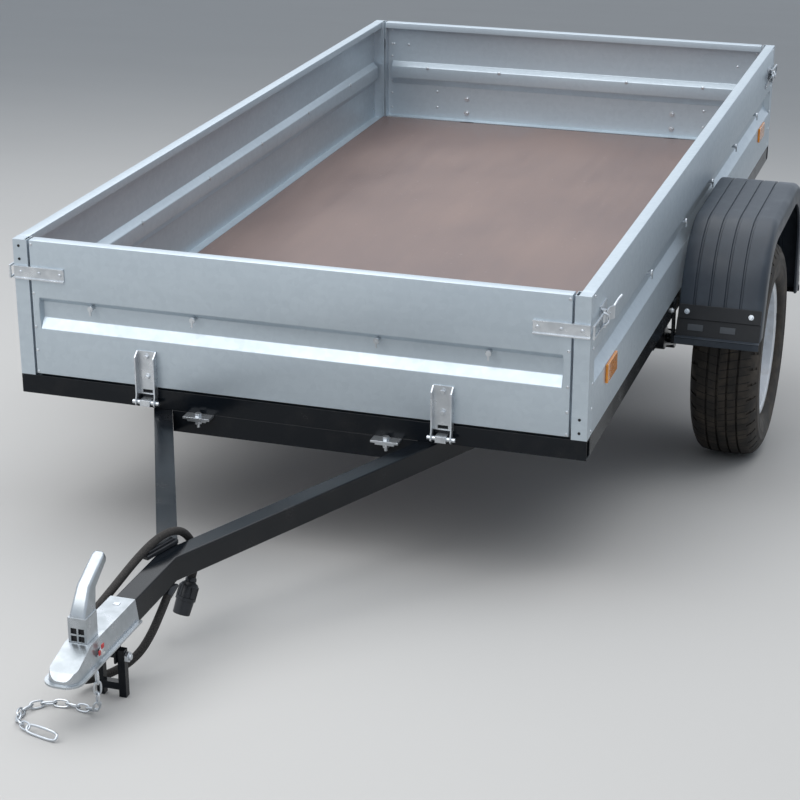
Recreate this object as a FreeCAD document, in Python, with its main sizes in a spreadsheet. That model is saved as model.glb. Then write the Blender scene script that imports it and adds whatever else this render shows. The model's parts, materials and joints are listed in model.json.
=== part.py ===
import FreeCAD, Part
import math
import os
import re
import Sketcher
from FreeCAD import Placement, Rotation, Vector

# Single-axle utility trailer with a folded-sheet body, parked nose down on its folding leg.
# Every piece is drawn on the trailer's own level frame: X to the right, Y to the rear, Z up,
# with zero at the middle of the front edge of the frame's top. Each sub-part is then laid down
# by one common placement, so that the wheels and the leg stand on Z = 0.

doc = FreeCAD.newDocument("utility_trailer")
sheet = doc.addObject("Spreadsheet::Sheet", "Sizes")

# name, value in millimetres or degrees, what it is
SIZES = [
    ("body_width", 1290, "over the side boards"),
    ("body_length", 2513, "over the end boards"),
    ("board_height", 314, "frame top to rim"),
    ("board_depth", 27, "rim flange and board thickness"),
    ("board_lip", 18, "down-turned lip of the rim"),
    ("board_gap", 5, "round a board that opens"),
    ("sheet_wall", 1.5, "folded sheet"),
    ("rib_top", 190, "upper edge of the pressed rib"),
    ("rib_bottom", 112, "lower edge of the pressed rib"),
    ("rib_slope", 22, "height of each sloped flank"),
    ("rib_depth", 17, "how far the rib is pressed in"),
    ("rib_stop", 16, "end of the rib short of the board's end"),
    ("post_width", 34, "corner post, seen from the front"),
    ("post_depth", 29, "corner post, along the side"),
    ("beam_height", 44, "perimeter beam"),
    ("beam_width", 30, "perimeter beam"),
    ("beam_wall", 3, "perimeter beam"),
    ("floor_thickness", 9, "film-faced plywood"),
    ("floor_rise", 4, "floor top above the frame top"),
    ("floor_gap", 1, "floor edge to beam"),
    ("cross_width", 30, "cross member, along the trailer"),
    ("cross_wall", 2, "cross member"),
    ("arm_angle", 24.5, "drawbar arm to the trailer's axis"),
    ("arm_width", 40, "drawbar tube"),
    ("arm_height", 50, "drawbar tube"),
    ("arm_wall", 3, "drawbar tube"),
    ("arm_bend", 667, "bend of the drawbar ahead of the frame"),
    ("arm_reach", 470, "end of the arms under the frame"),
    ("clamp_place", 215, "drawbar clamp to the middle plane"),
    ("clamp_length", 62, "clamp plate along the beam"),
    ("clamp_width", 28, "clamp plate ahead of the beam"),
    ("clamp_plate", 5, "clamp plate"),
    ("clamp_bolt", 8, "half the clamp bolt's hexagon"),
    ("coupler_rear", 862, "rear end of the coupler ahead of the frame"),
    ("coupler_length", 262, "pressed coupler body"),
    ("coupler_wall", 4, "pressed coupler body"),
    ("coupler_flange", 36, "half width over the flanges"),
    ("coupler_foot", 30, "half width at the foot of the pressing"),
    ("coupler_slope", 22, "fall of the coupler's top towards its nose"),
    ("coupler_rise", 6, "coupler top above the drawbar"),
    ("coupler_drop", 38, "flange below the drawbar's top"),
    ("ball_diameter", 50, "tow ball"),
    ("lever_place", 1042, "front of the coupler's lever ahead of the frame"),
    ("lever_length", 42, "lever's fork along the coupler"),
    ("lever_fork", 35, "lever's fork across the coupler"),
    ("lever_elbow", 10, "top of the lever's fork above the frame's top"),
    ("lever_width", 24, "channel of the lever's handle"),
    ("lever_depth", 15, "channel of the lever's handle at its tip"),
    ("lever_wall", 2.5, "sheet of the lever"),
    ("lever_knee", 30, "bend of the handle behind the fork's front"),
    ("lever_reach", 96, "tip of the handle behind the fork's front"),
    ("lever_rise", 82, "tip of the handle above the fork"),
    ("lever_slot", 11, "slots in the fork's front, both ways"),
    ("window_length", 32, "coupler's window under the fork"),
    ("window_width", 27, "coupler's window under the fork"),
    ("dial_size", 10, "wear indicator's dial"),
    ("axle_place", 1355, "wheel centre behind the body's front"),
    ("axle_drop", 250, "wheel centre below the frame top"),
    ("wheel_outset", 112, "wheel centre outside the body's side"),
    ("tyre_radius", 288, "outside"),
    ("tyre_width", 177, "over the sidewalls"),
    ("tread_width", 136, "tread face"),
    ("tyre_wall", 11, "carcass"),
    ("rim_radius", 165, "bead seat"),
    ("rim_lip", 17, "flange above the bead seat"),
    ("rim_width", 140, "over the flanges"),
    ("rim_wall", 5, "rim and disc"),
    ("rim_well", 25, "drop centre below the bead seat"),
    ("rim_dish", 29, "hub face outside the tyre's middle"),
    ("hub_radius", 52, "hub drum"),
    ("hub_bore", 30, "centre hole of the rim's disc"),
    ("stub_radius", 14, "stub axle"),
    ("axle_size", 60, "square axle tube"),
    ("axle_wall", 4, "axle tube and brackets"),
    ("axle_inset", 85, "end of the axle tube inside the body's side"),
    ("swing_length", 150, "swing arm, axle tube to hub, along"),
    ("swing_drop", 55, "swing arm, axle tube to hub, down"),
    ("swing_wall", 24, "swing arm across"),
    ("swing_eye", 32, "swing arm's eye on the axle tube"),
    ("swing_boss", 26, "swing arm's boss for the stub axle"),
    ("fender_gap", 10, "mudguard's inner edge outside the body's side"),
    ("fender_width", 208, "mudguard over all"),
    ("fender_wall", 4, "mudguard shell"),
    ("fender_crown", 165, "mudguard top above the frame top"),
    ("fender_front", 425, "mudguard's front end ahead of the wheel's centre"),
    ("fender_drop", 254, "mudguard's front end below its crown"),
    ("fender_slope", 67, "angle of the mudguard's front end to its top"),
    ("fender_rear", 338, "mudguard's rear end behind the wheel's centre"),
    ("fender_rear_drop", 350, "mudguard's rear end below its crown"),
    ("fender_rear_slope", 85, "angle of the mudguard's rear end to its top"),
    ("fender_bend", 200, "radius between the mudguard's top and ends"),
    ("fender_skirt", 55, "side lip of the mudguard at its crown"),
    ("fender_lip", 14, "lip along the mudguard's lower edges"),
    ("stay_width", 30, "mudguard stay"),
    ("stay_wall", 5, "mudguard stay"),
    ("stand_place", 920, "parking leg ahead of the frame"),
    ("stand_bar", 14, "parking leg bar"),
    ("stand_width", 57, "parking leg over its sides"),
    ("stand_lug", 24, "parking leg's bracket along the drawbar"),
    ("stand_foot", 14, "parking leg below its cross bar"),
    ("stand_pivot", 122, "parking leg's bolt below the frame top"),
    ("stand_bolt", 5, "radius of the parking leg's bolt"),
    ("stand_ear", 4, "wall of the parking leg's bracket"),
    ("hinge_place", 337, "board hinge to the middle plane"),
    ("hinge_width", 46, "hinge strap"),
    ("hinge_wall", 3, "hinge strap"),
    ("hinge_top", 88, "top of the hinge strap"),
    ("hinge_foot", 12, "web of the hinge strap below the frame top"),
    ("hinge_drop", 27, "hinge pin below the frame top"),
    ("hinge_out", 15, "hinge pin in front of the board"),
    ("hinge_eye", 8, "half size of the strap's eye"),
    ("hinge_pin", 5, "radius of the hinge pin"),
    ("hinge_lug", 24, "hinge lug along the pin"),
    ("latch_height", 240, "latch strap above the frame top"),
    ("latch_band", 30, "latch strap"),
    ("latch_depth", 7, "latch strap's channel"),
    ("latch_wall", 2.5, "latch strap's channel"),
    ("latch_inboard", 120, "latch strap's inner end from the side"),
    ("clasp_place", 78, "toggle latch behind the body's end"),
    ("clasp_length", 58, "toggle latch along the side"),
    ("clasp_height", 56, "toggle latch"),
    ("bail_wire", 4, "toggle latch's bail"),
    ("bail_out", 6, "bail outside the body's side"),
    ("reflector_place", 160, "side reflector behind the body's end"),
    ("reflector_length", 92, "side reflector"),
    ("reflector_height", 42, "side reflector"),
    ("reflector_rise", 70, "side reflector above the frame top"),
    ("lamp_length", 210, "rear lamp"),
    ("lamp_height", 95, "rear lamp"),
    ("lamp_depth", 48, "rear lamp"),
    ("lamp_lens", 18, "depth of the rear lamp's lens"),
    ("lamp_rim", 6, "lens edge inside the lamp's housing"),
    ("lamp_place", 500, "rear lamp to the middle plane"),
    ("chain_wire", 5, "chain link's wire"),
    ("chain_pitch", 22, "inner length of a chain link"),
    ("chain_width", 18, "chain link over all"),
    ("hook_length", 62, "chain's hook, inner length"),
    ("hook_width", 22.5, "chain's hook over all"),
    ("hook_wire", 6.5, "chain's hook"),
    ("cable_radius", 8, "sleeved cable"),
    ("plug_radius", 20, "trailer plug"),
    ("plug_length", 70, "trailer plug"),
    ("gland_length", 30, "cable gland under the drawbar"),
    ("park_pitch", 8.45, "nose-down angle on the parking leg"),
]

for row, (alias, value, meaning) in enumerate(SIZES, start=2):
    sheet.set("A%d" % row, alias)
    sheet.set("B%d" % row, str(value))
    sheet.set("C%d" % row, meaning)
    sheet.setAlias("B%d" % row, alias)
doc.recompute()


def size(alias):
    """The sheet's value under this alias, as a number."""
    return float(sheet.get(alias))


def rule(text):
    """An expression on the sheet: every name with an underscore is one of its aliases."""
    return re.sub(r"[a-z]+(_[a-z]+)+", lambda found: "Sizes." + found.group(), text)


parts = {}


def block(name, lengths, corner):
    """A box: its three lengths and its lowest corner, as expressions."""
    solid = doc.addObject("Part::Box", name)
    for field, text in zip(("Length", "Width", "Height"), lengths):
        solid.setExpression(field, rule(text))
    for axis, text in zip("xyz", corner):
        solid.setExpression("Placement.Base." + axis, rule(text))
    return solid


def prism(name, sides, radius, length, base, axis="x"):
    """A regular prism along one axis, from its base; the radius reaches its corners."""
    solid = doc.addObject("Part::Prism", name)
    solid.Polygon = sides
    solid.setExpression("Circumradius", rule(radius))
    solid.setExpression("Height", rule(length))
    turn = {"x": Rotation(Vector(0, 1, 0), 90), "y": Rotation(Vector(1, 0, 0), -90),
            "z": Rotation()}[axis]
    solid.Placement = Placement(Vector(), turn)
    for letter, text in zip("xyz", base):
        solid.setExpression("Placement.Base." + letter, rule(text))
    return solid


def cut(name, base, tool):
    """One solid less another."""
    result = doc.addObject("Part::Cut", name)
    result.Base = base
    result.Tool = tool
    return result


def fuse(name, pieces):
    """Several touching solids as one."""
    result = doc.addObject("Part::MultiFuse", name)
    result.Shapes = pieces
    return result


def gather(name, pieces):
    """Several solids that don't touch, in one sub-part."""
    result = doc.addObject("Part::Compound", name)
    result.Links = pieces
    return result


def tube(name, lengths, corner, wall, along):
    """A rectangular tube, open at both ends along one axis."""
    outer = block(name + "_outer", lengths, corner)
    inner_lengths = list(lengths)
    inner_corner = list(corner)
    for index, axis in enumerate("xyz"):
        if axis != along:
            inner_lengths[index] = "%s - 2 * %s" % (lengths[index], wall)
            inner_corner[index] = "%s + %s" % (corner[index], wall)
    inner = block(name + "_inner", inner_lengths, inner_corner)
    return cut(name, outer, inner)


def plane_of(body, role):
    """One of the body's own origin planes."""
    return next(item for item in body.Origin.OriginFeatures if item.Role == role)


def polygon(body, name, role, corners):
    """A sketch of one closed outline, every corner tied to the sheet across and up."""
    sketch = body.newObject("Sketcher::SketchObject", name)
    sketch.AttachmentSupport = [(plane_of(body, role), "")]
    sketch.MapMode = "FlatFace"
    rules = [(rule(across), rule(up)) for across, up in corners]
    points = [Vector(float(sketch.evalExpression(across)), float(sketch.evalExpression(up)), 0)
              for across, up in rules]
    for start, end in zip(points, points[1:] + points[:1]):
        sketch.addGeometry(Part.LineSegment(start, end), False)
    count = len(points)
    for index in range(count):
        following = (index + 1) % count
        sketch.addConstraint(Sketcher.Constraint("Coincident", index, 2, following, 1))
    for index, (across, up) in enumerate(rules):
        for kind, text, value in (("DistanceX", across, points[index].x),
                                  ("DistanceY", up, points[index].y)):
            place = sketch.addConstraint(Sketcher.Constraint(kind, -1, 1, index, 1, value))
            sketch.setExpression("Constraints[%d]" % place, text)
    return sketch


def padded(name, role, corners, length, further=()):
    """A body padded from an outline, centred on its plane, with further pads and pockets.

    further holds (kind, corners, length) with kind Pad or Pocket, all centred on the plane.
    """
    body = doc.addObject("PartDesign::Body", name)
    steps = [("Pad", corners, length)] + list(further)
    for number, (kind, outline, depth) in enumerate(steps):
        feature = body.newObject("PartDesign::" + kind, "%s_%s%d" % (name, kind.lower(), number))
        feature.Profile = polygon(body, "%s_outline%d" % (name, number), role, outline)
        feature.SideType = "Symmetric"
        feature.setExpression("Length", rule(depth))
        doc.recompute()
    return body


def shape(name, solid):
    """A piece whose shape is worked out with Part's own functions from the sheet's values."""
    feature = doc.addObject("Part::Feature", name)
    feature.Shape = solid
    return feature


def moved(name, piece, across="0", along="0", up="0"):
    """A further copy of a piece, shifted by expressions."""
    copy = doc.addObject("Part::Compound", name)
    copy.Links = [piece]
    for axis, text in zip("xyz", (across, along, up)):
        copy.setExpression("Placement.Base." + axis, rule(text))
    return copy


def mirrored(name, piece):
    """The same piece on the other side of the middle plane."""
    copy = doc.addObject("Part::Mirroring", name)
    copy.Source = piece
    copy.Normal = Vector(1, 0, 0)
    return copy


def turned_round(name, piece):
    """The same piece at the other end of the body."""
    copy = doc.addObject("Part::Mirroring", name)
    copy.Source = piece
    copy.Normal = Vector(0, 1, 0)
    copy.setExpression("Base.y", rule("body_length / 2"))
    return copy


def sub_part(label, piece):
    """One named sub-part, so far on the level frame; it is laid down at the end."""
    whole = gather(label, [piece])
    whole.Label = label
    parts[label] = whole
    return whole


# Gap at rest between curved pieces that seat on each other
SEAT_GAP = 0.3
# Clearance of a pin in its hole, on the radius
PIN_GAP = 0.1

# Frame and floor
INNER_HALF = "body_width / 2 - beam_width"

# Flat facets round a wheel and round a hub
WHEEL_FACETS = 28
HUB_FACETS = 16
# round a hinge pin, and round the wire of the chain
PIN_FACETS = 12
WIRE_FACETS = 5


def make_frame():
    """Perimeter beams, cross members and the plywood floor that lies on them."""
    height = ["body_width", "beam_width", "beam_height"]
    sub_part("frame_beam_front", tube("front_beam", height,
             ["-body_width / 2", "0", "-beam_height"], "beam_wall", "x"))
    sub_part("frame_beam_rear", tube("rear_beam", height,
             ["-body_width / 2", "body_length - beam_width", "-beam_height"], "beam_wall", "x"))
    rail = tube("rail_right", ["beam_width", "body_length - 2 * beam_width", "beam_height"],
                [INNER_HALF, "beam_width", "-beam_height"], "beam_wall", "y")
    sub_part("frame_rails", gather("rails", [rail, mirrored("rail_left", rail)]))
    # share of the body's length at which each cross member lies
    crosses = []
    for number, share in enumerate((0.17, 0.36, 0.64, 0.83)):
        crosses.append(tube("cross%d" % number,
                            ["body_width - 2 * beam_width", "cross_width",
                             "beam_height - floor_thickness + floor_rise"],
                            ["-( %s )" % INNER_HALF,
                             "body_length * %g - cross_width / 2" % share, "-beam_height"],
                            "cross_wall", "x"))
    sub_part("frame_cross_members", gather("cross_members", crosses))
    sub_part("floor_board", block("floor",
             ["body_width - 2 * beam_width - 2 * floor_gap",
              "body_length - 2 * beam_width - 2 * floor_gap", "floor_thickness"],
             ["-( %s - floor_gap )" % INNER_HALF, "beam_width + floor_gap",
              "floor_rise - floor_thickness"]))


# Body panels
def board_section(outward, bottom):
    """Outlines of a folded board: its outer block, its hollow, its rib and the rib's groove.

    Each point is how far in from the outer face, and up. The sheet runs up from the bottom
    flange and turns over at the rim into a flange with a lip; its ends are closed by folds.
    outward is the expression of the outer face and a sign, so that one section serves
    every side.
    """
    face, sign = outward
    wall = "sheet_wall"

    def placed(points):
        return [("%s %s ( %s )" % (face, sign, inward), up) for inward, up in points]

    block_outline = [("0", bottom), ("0", "board_height"), ("board_depth", "board_height"),
                     ("board_depth", bottom)]
    hollow = [(wall, "%s + %s" % (bottom, wall)), (wall, "board_height - %s" % wall),
              ("board_depth - %s" % wall, "board_height - %s" % wall),
              ("board_depth - %s" % wall, "board_height - board_lip"),
              ("board_depth + %s" % wall, "board_height - board_lip"),
              ("board_depth + %s" % wall, "%s + %s" % (bottom, wall))]
    rib = [("0", "rib_bottom - %s / 2" % wall), (wall, "rib_bottom - %s / 2" % wall),
           ("rib_depth + %s" % wall, "rib_bottom + rib_slope - %s / 2" % wall),
           ("rib_depth + %s" % wall, "rib_top - rib_slope + %s / 2" % wall),
           (wall, "rib_top + %s / 2" % wall), ("0", "rib_top + %s / 2" % wall)]
    groove = [("0", "rib_bottom"), ("rib_depth", "rib_bottom + rib_slope"),
              ("rib_depth", "rib_top - rib_slope"), ("0", "rib_top")]
    return [placed(points) for points in (block_outline, hollow, rib, groove)]


def make_board(name, role, outward, bottom, length):
    """One folded board, padded about the middle of its plane."""
    outline, hollow, rib, groove = board_section(outward, bottom)
    return padded(name, role, outline, length, [
        ("Pocket", hollow, length + " - 2 * sheet_wall"),
        ("Pad", rib, length + " - 2 * rib_stop"),
        ("Pocket", groove, length + " - 2 * rib_stop - 2 * sheet_wall")])


def make_boards():
    """Two fixed side boards, four corner posts, and the two boards that open."""
    length = "body_length - 2 * post_depth"
    for side, face, sign in (("left", "-body_width / 2", "+"), ("right", "body_width / 2", "-")):
        board = make_board("side_" + side, "XZ_Plane", (face, sign), "0", length)
        shifted = moved("side_%s_placed" % side, board, along="body_length / 2")
        sub_part("side_board_" + side, shifted)
    width = "body_width - 2 * post_width - 2 * board_gap"
    for label, face, sign in (("front_board", "0", "+"), ("tailgate", "body_length", "-")):
        sub_part(label, make_board(label + "_fold", "YZ_Plane", (face, sign), "board_gap", width))
    post = tube("post", ["post_width", "post_depth", "board_height"],
                ["body_width / 2 - post_width", "0", "0"], "sheet_wall", "z")
    # the side board's rim runs on over the post and leaves a slot beside it
    cap = block("post_cap", ["board_depth", "post_depth", "sheet_wall"],
                ["body_width / 2 - board_depth", "0", "board_height - sheet_wall"])
    right = fuse("post_right", [post, cap])
    posts = [right, mirrored("post_left", right)]
    posts += [turned_round("%s_rear" % piece.Name, piece) for piece in posts]
    sub_part("corner_posts", gather("posts", posts))


# Drawbar
LEAN = "tan( arm_angle * 0.5 * 1 deg )"
SPREAD = "tan( arm_angle * 1 deg )"
HALF = "arm_width / 2"
ARM_SIDE = "( arm_width / 2 / cos( arm_angle * 1 deg ) )"


def arm_outline(half, end):
    """Plan of the bent drawbar tube: half its width, and where its straight end lies."""
    side = "( %s / cos( arm_angle * 1 deg ) )" % half
    spread_end = "( arm_bend + arm_reach ) * %s" % SPREAD
    return [(half, end), (half, "-arm_bend - %s * %s" % (half, LEAN)),
            ("%s + %s" % (spread_end, side), "arm_reach"),
            ("%s - %s" % (spread_end, side), "arm_reach"),
            ("-( %s )" % half, "-arm_bend + %s * %s" % (half, LEAN)), ("-( %s )" % half, end)]


def brace_outline(half):
    """Plan of the left tube, which butts on the bent one, for half its width."""
    side = "( %s / cos( arm_angle * 1 deg ) )" % half
    spread_end = "( arm_bend + arm_reach ) * %s" % SPREAD
    full = "arm_width / 2"
    return [("-( %s )" % full, "-arm_bend + ( %s - %s ) / %s" % (full, side, SPREAD)),
            ("-( %s )" % full, "-arm_bend + %s * %s" % (full, LEAN)),
            ("( %s - %s ) / ( 2 * cos( arm_angle * 1 deg ) )" % (half, full),
             "-arm_bend + ( %s + %s ) / ( 2 * sin( arm_angle * 1 deg ) )" % (half, full)),
            ("-( %s ) + %s" % (spread_end, side), "arm_reach"),
            ("-( %s ) - %s" % (spread_end, side), "arm_reach")]


def make_drawbar():
    """The bent right tube, the left tube welded to it, and the tube across at the frame."""
    level = "-beam_height - arm_height / 2"
    end = "-coupler_rear - coupler_length / 2"
    inside = "( arm_width / 2 - arm_wall )"
    bore = "arm_height - 2 * arm_wall"
    bent = padded("bent_tube", "XY_Plane", arm_outline(HALF, end), "arm_height",
                  [("Pocket", arm_outline(inside, end), bore)])
    sub_part("drawbar_arm_right", moved("bent_tube_placed", bent, up=level))
    brace = padded("brace_tube", "XY_Plane", brace_outline(HALF), "arm_height",
                   [("Pocket", brace_outline(inside), bore)])
    sub_part("drawbar_arm_left", moved("brace_tube_placed", brace, up=level))
    reach = "( arm_bend * %s - %s )" % (SPREAD, ARM_SIDE)
    sub_part("drawbar_cross_tube", tube("cross_tube",
             ["2 * %s" % reach, "arm_width", "arm_height"],
             ["-%s" % reach, "0", "-beam_height - arm_height"], "arm_wall", "x"))
    # two plates against the cross tube's front, clamped by one bolt, its head on top
    under = "-beam_height - 2 * clamp_plate"
    upper = block("clamp_upper", ["clamp_length", "clamp_width", "clamp_plate"],
                  ["clamp_place - clamp_length / 2", "-clamp_width", "-beam_height - clamp_plate"])
    lower = block("clamp_lower", ["clamp_length * 0.7", "clamp_width * 0.8", "clamp_plate"],
                  ["clamp_place - clamp_length * 0.35", "-clamp_width * 0.9", under])
    centre = ["clamp_place", "-clamp_width / 2"]
    head = prism("clamp_head", 6, "clamp_bolt", "clamp_bolt * 0.8", centre + ["-beam_height"], "z")
    nut = prism("clamp_nut", 6, "clamp_bolt", "clamp_bolt",
                centre + [under + " - clamp_bolt"], "z")
    shank = prism("clamp_shank", 8, "clamp_bolt / 2", "clamp_bolt",
                  centre + [under + " - 2 * clamp_bolt"], "z")
    clamp = fuse("clamp_right", [upper, lower, head, nut, shank])
    sub_part("drawbar_clamps", gather("clamps", [clamp, mirrored("clamp_left", clamp)]))


# Radius of the coupler's nose corners in plan, as a share of its half width there
NOSE_CORNER = 0.8


def plan_outline(half, nose, rear, height):
    """Plan of the coupler at one height: straight sides and a nose with two round corners."""
    corner = NOSE_CORNER * half
    flat = half - corner
    bulge = corner * math.sin(math.radians(45))
    start = nose - flat
    front = nose - half
    arcs = []
    for hand in (1, -1):
        arcs.append(Part.Arc(Vector(hand * half, start, height),
                             Vector(hand * (flat + bulge), start - bulge, height),
                             Vector(hand * flat, front, height)).toShape())
    return Part.Wire([
        Part.makeLine(Vector(half, rear, height), Vector(half, start, height)), arcs[0],
        Part.makeLine(Vector(flat, front, height), Vector(-flat, front, height)), arcs[1],
        Part.makeLine(Vector(-half, start, height), Vector(-half, rear, height)),
        Part.makeLine(Vector(-half, rear, height), Vector(half, rear, height))])


def drafted(top_half, foot_half, nose, rear, top, foot, slope):
    """A pressing with leaning sides whose top falls from the lever to the nose."""
    solid = Part.makeLoft([plan_outline(foot_half, nose, rear, foot),
                           plan_outline(top_half, nose, rear, top)], True, True)
    front = nose - foot_half - 1
    bend = -size("lever_place")
    # the cut's side view: the long slope, then a steeper one round the nose's edge
    fall = Part.Face(Part.makePolygon([
        Vector(-foot_half, bend, top), Vector(-foot_half, nose - top_half * 0.8, top - slope),
        Vector(-foot_half, front, top - slope * 1.7), Vector(-foot_half, front, top + slope),
        Vector(-foot_half, bend, top + slope), Vector(-foot_half, bend, top)]))
    return solid.cut(fall.extrude(Vector(2 * foot_half, 0, 0)))


def make_coupler():
    """Pressed coupler over the drawbar's end, with its lever and the wear indicator."""
    wall = size("coupler_wall")
    top = -size("beam_height") + size("coupler_rise")
    sole = -size("beam_height") - size("coupler_drop")
    rear = -size("coupler_rear")
    nose = rear - size("coupler_length") + size("coupler_flange")
    half = size("arm_width") / 2
    slope = size("coupler_slope")
    outer = drafted(half + wall, size("coupler_foot"), nose, rear, top, sole, slope)
    flange = Part.Face(plan_outline(size("coupler_flange"), nose, rear, sole))
    # the ball's space is as wide as the hollow's foot, and the drawbar fills its rear
    inner = drafted(half, size("ball_diameter") / 2 + 1, nose, rear, top - wall, sole, slope)
    length = size("window_length")
    width = size("window_width")
    middle = -size("lever_place") + size("lever_length") / 2
    window = Part.makeBox(width, length, 2 * wall, Vector(
        -width / 2, middle - length / 2, top - 1.5 * wall))
    body = outer.fuse(flange.extrude(Vector(0, 0, wall))).cut(inner).cut(window)
    sub_part("coupler_body", shape("coupler", body.removeSplitter()))
    sub_part("coupler_lever", make_lever())

    # how far out the leaning side is at the dial's lower edge
    side = ("( coupler_foot - 4 * coupler_wall / ( coupler_rise + coupler_drop )"
            " * ( coupler_foot - arm_width / 2 - coupler_wall ) + %s )" % SEAT_GAP)
    low = "-beam_height - coupler_drop + 4 * coupler_wall"
    behind = "-lever_place + lever_length / 2"
    dial = block("indicator_dial", ["coupler_wall", "dial_size", "dial_size"],
                 [side, behind, low])
    pointer = block("indicator_pointer", ["coupler_wall / 2", "dial_size", "dial_size / 3"],
                    [side + " + coupler_wall / 4", behind + " - dial_size", low])
    sub_part("coupler_indicator", fuse("indicator", [dial, pointer]))


def make_lever():
    """The coupler's lever: a slotted fork on the pressing, and a bent handle of channel."""
    wall = "lever_wall"
    front = "-lever_place"
    rear = "-lever_place + lever_length"
    foot = "-beam_height + coupler_rise + %s" % SEAT_GAP
    # each outline is seen from the side: along and up
    block_side = [(front, foot), (front, "lever_elbow"), (rear, "lever_elbow"), (rear, foot)]
    block_hollow = [(front + " + " + wall, foot + " - " + wall),
                    (front + " + " + wall, "lever_elbow - " + wall),
                    (rear + " + " + wall, "lever_elbow - " + wall),
                    (rear + " + " + wall, foot + " - " + wall)]
    fork = padded("lever_fork", "YZ_Plane", block_side, "lever_fork",
                  [("Pocket", block_hollow, "lever_fork - 2 * " + wall)])
    slots = []
    for column in (-1, 1):
        for row in (0, 1):
            slots.append(block("lever_slot_%d_%d" % (column, row),
                               ["lever_slot", "3 * " + wall, "lever_slot"],
                               ["lever_slot * %g" % (0.65 * column - 0.5),
                                front + " - " + wall, foot + " + lever_slot * %g" % (0.2 + 1.3 * row)]))
    slotted = cut("lever_fork_slotted", fork, fuse("lever_slots", slots))
    knee = (front + " + lever_knee", "lever_elbow + lever_rise * 0.58")
    tip = (front + " + lever_reach", "lever_elbow + lever_rise")
    handle = [(front, "lever_elbow - " + wall), knee, tip,
              (tip[0] + " + lever_depth * 0.45", tip[1] + " - lever_depth * 0.9"),
              (knee[0] + " + lever_depth * 1.4", knee[1] + " - lever_depth * 0.8"),
              (rear, "lever_elbow - " + wall)]
    channel = [(front + " + " + wall, "lever_elbow - 2 * " + wall),
               (knee[0] + " + " + wall, knee[1] + " - " + wall),
               (tip[0] + " - 0.6 * " + wall, tip[1] + " - 1.4 * " + wall),
               (tip[0] + " + lever_depth", tip[1] + " - 2 * lever_depth"),
               (knee[0] + " + 2 * lever_depth", knee[1] + " - 2 * lever_depth"),
               (rear + " + " + wall, "lever_elbow - 2 * " + wall)]
    arm = padded("lever_handle", "YZ_Plane", handle, "lever_width",
                 [("Pocket", channel, "lever_width - 2 * " + wall)])
    return fuse("lever", [slotted, arm])


def make_stand():
    """Folding parking leg, its bracket under the drawbar and its bolt."""
    inside = "( stand_width / 2 - stand_bar - 0.5 )"
    reach = "stand_pivot - beam_height - arm_height + stand_lug / 2"
    near = "-stand_place - stand_lug / 2"
    low = "-stand_pivot - stand_lug / 2"
    solid = block("stand_block", ["2 * " + inside, "stand_lug", reach],
                  ["-" + inside, near, low])
    # open to the front, so that two ears and a back are left
    hollow = block("stand_hollow", ["2 * %s - 2 * stand_ear" % inside, "stand_lug", reach],
                   ["-%s + stand_ear" % inside, near + " - stand_ear", low])
    bolt = prism("stand_pin", PIN_FACETS, "stand_bolt", "stand_width + 2 * stand_bolt",
                 ["-stand_width / 2 - stand_bolt", "-stand_place", "-stand_pivot"])
    head = prism("stand_head", 6, "2 * stand_bolt", "stand_bolt",
                 ["stand_width / 2 + 1", "-stand_place", "-stand_pivot"])
    sub_part("stand_bracket", fuse("stand_mount", [cut("stand_ears", solid, hollow), bolt, head]))
    pitch = math.radians(size("park_pitch"))
    foot = (size("axle_drop") + (size("tyre_radius") - math.sin(pitch)
            * (size("stand_place") + size("axle_place"))) / math.cos(pitch))
    bar = size("stand_bar")
    half = size("stand_width") / 2
    near = -size("stand_place") - bar / 2
    low = -foot + bar / 2 * math.tan(pitch)
    head_room = -size("stand_pivot") + 2 * bar
    cross = low + size("stand_foot")
    outer = Part.makeBox(2 * half, bar, -size("stand_pivot") + bar - low,
                         Vector(-half, near, low))
    inner = Part.makeBox(2 * half - 2 * bar, bar, head_room - cross - bar,
                         Vector(-half + bar, near, cross + bar))
    below = Part.makeBox(2 * half - 2 * bar, bar, size("stand_foot"),
                         Vector(-half + bar, near, low))
    hole = pin_hole(PIN_FACETS, size("stand_bolt"), 2 * half,
                    Vector(-half, -size("stand_place"), -size("stand_pivot")))
    sub_part("stand_leg", shape("stand_loop", outer.cut([inner, below, hole])))


AXLE_END = "( body_width / 2 - axle_inset )"


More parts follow.
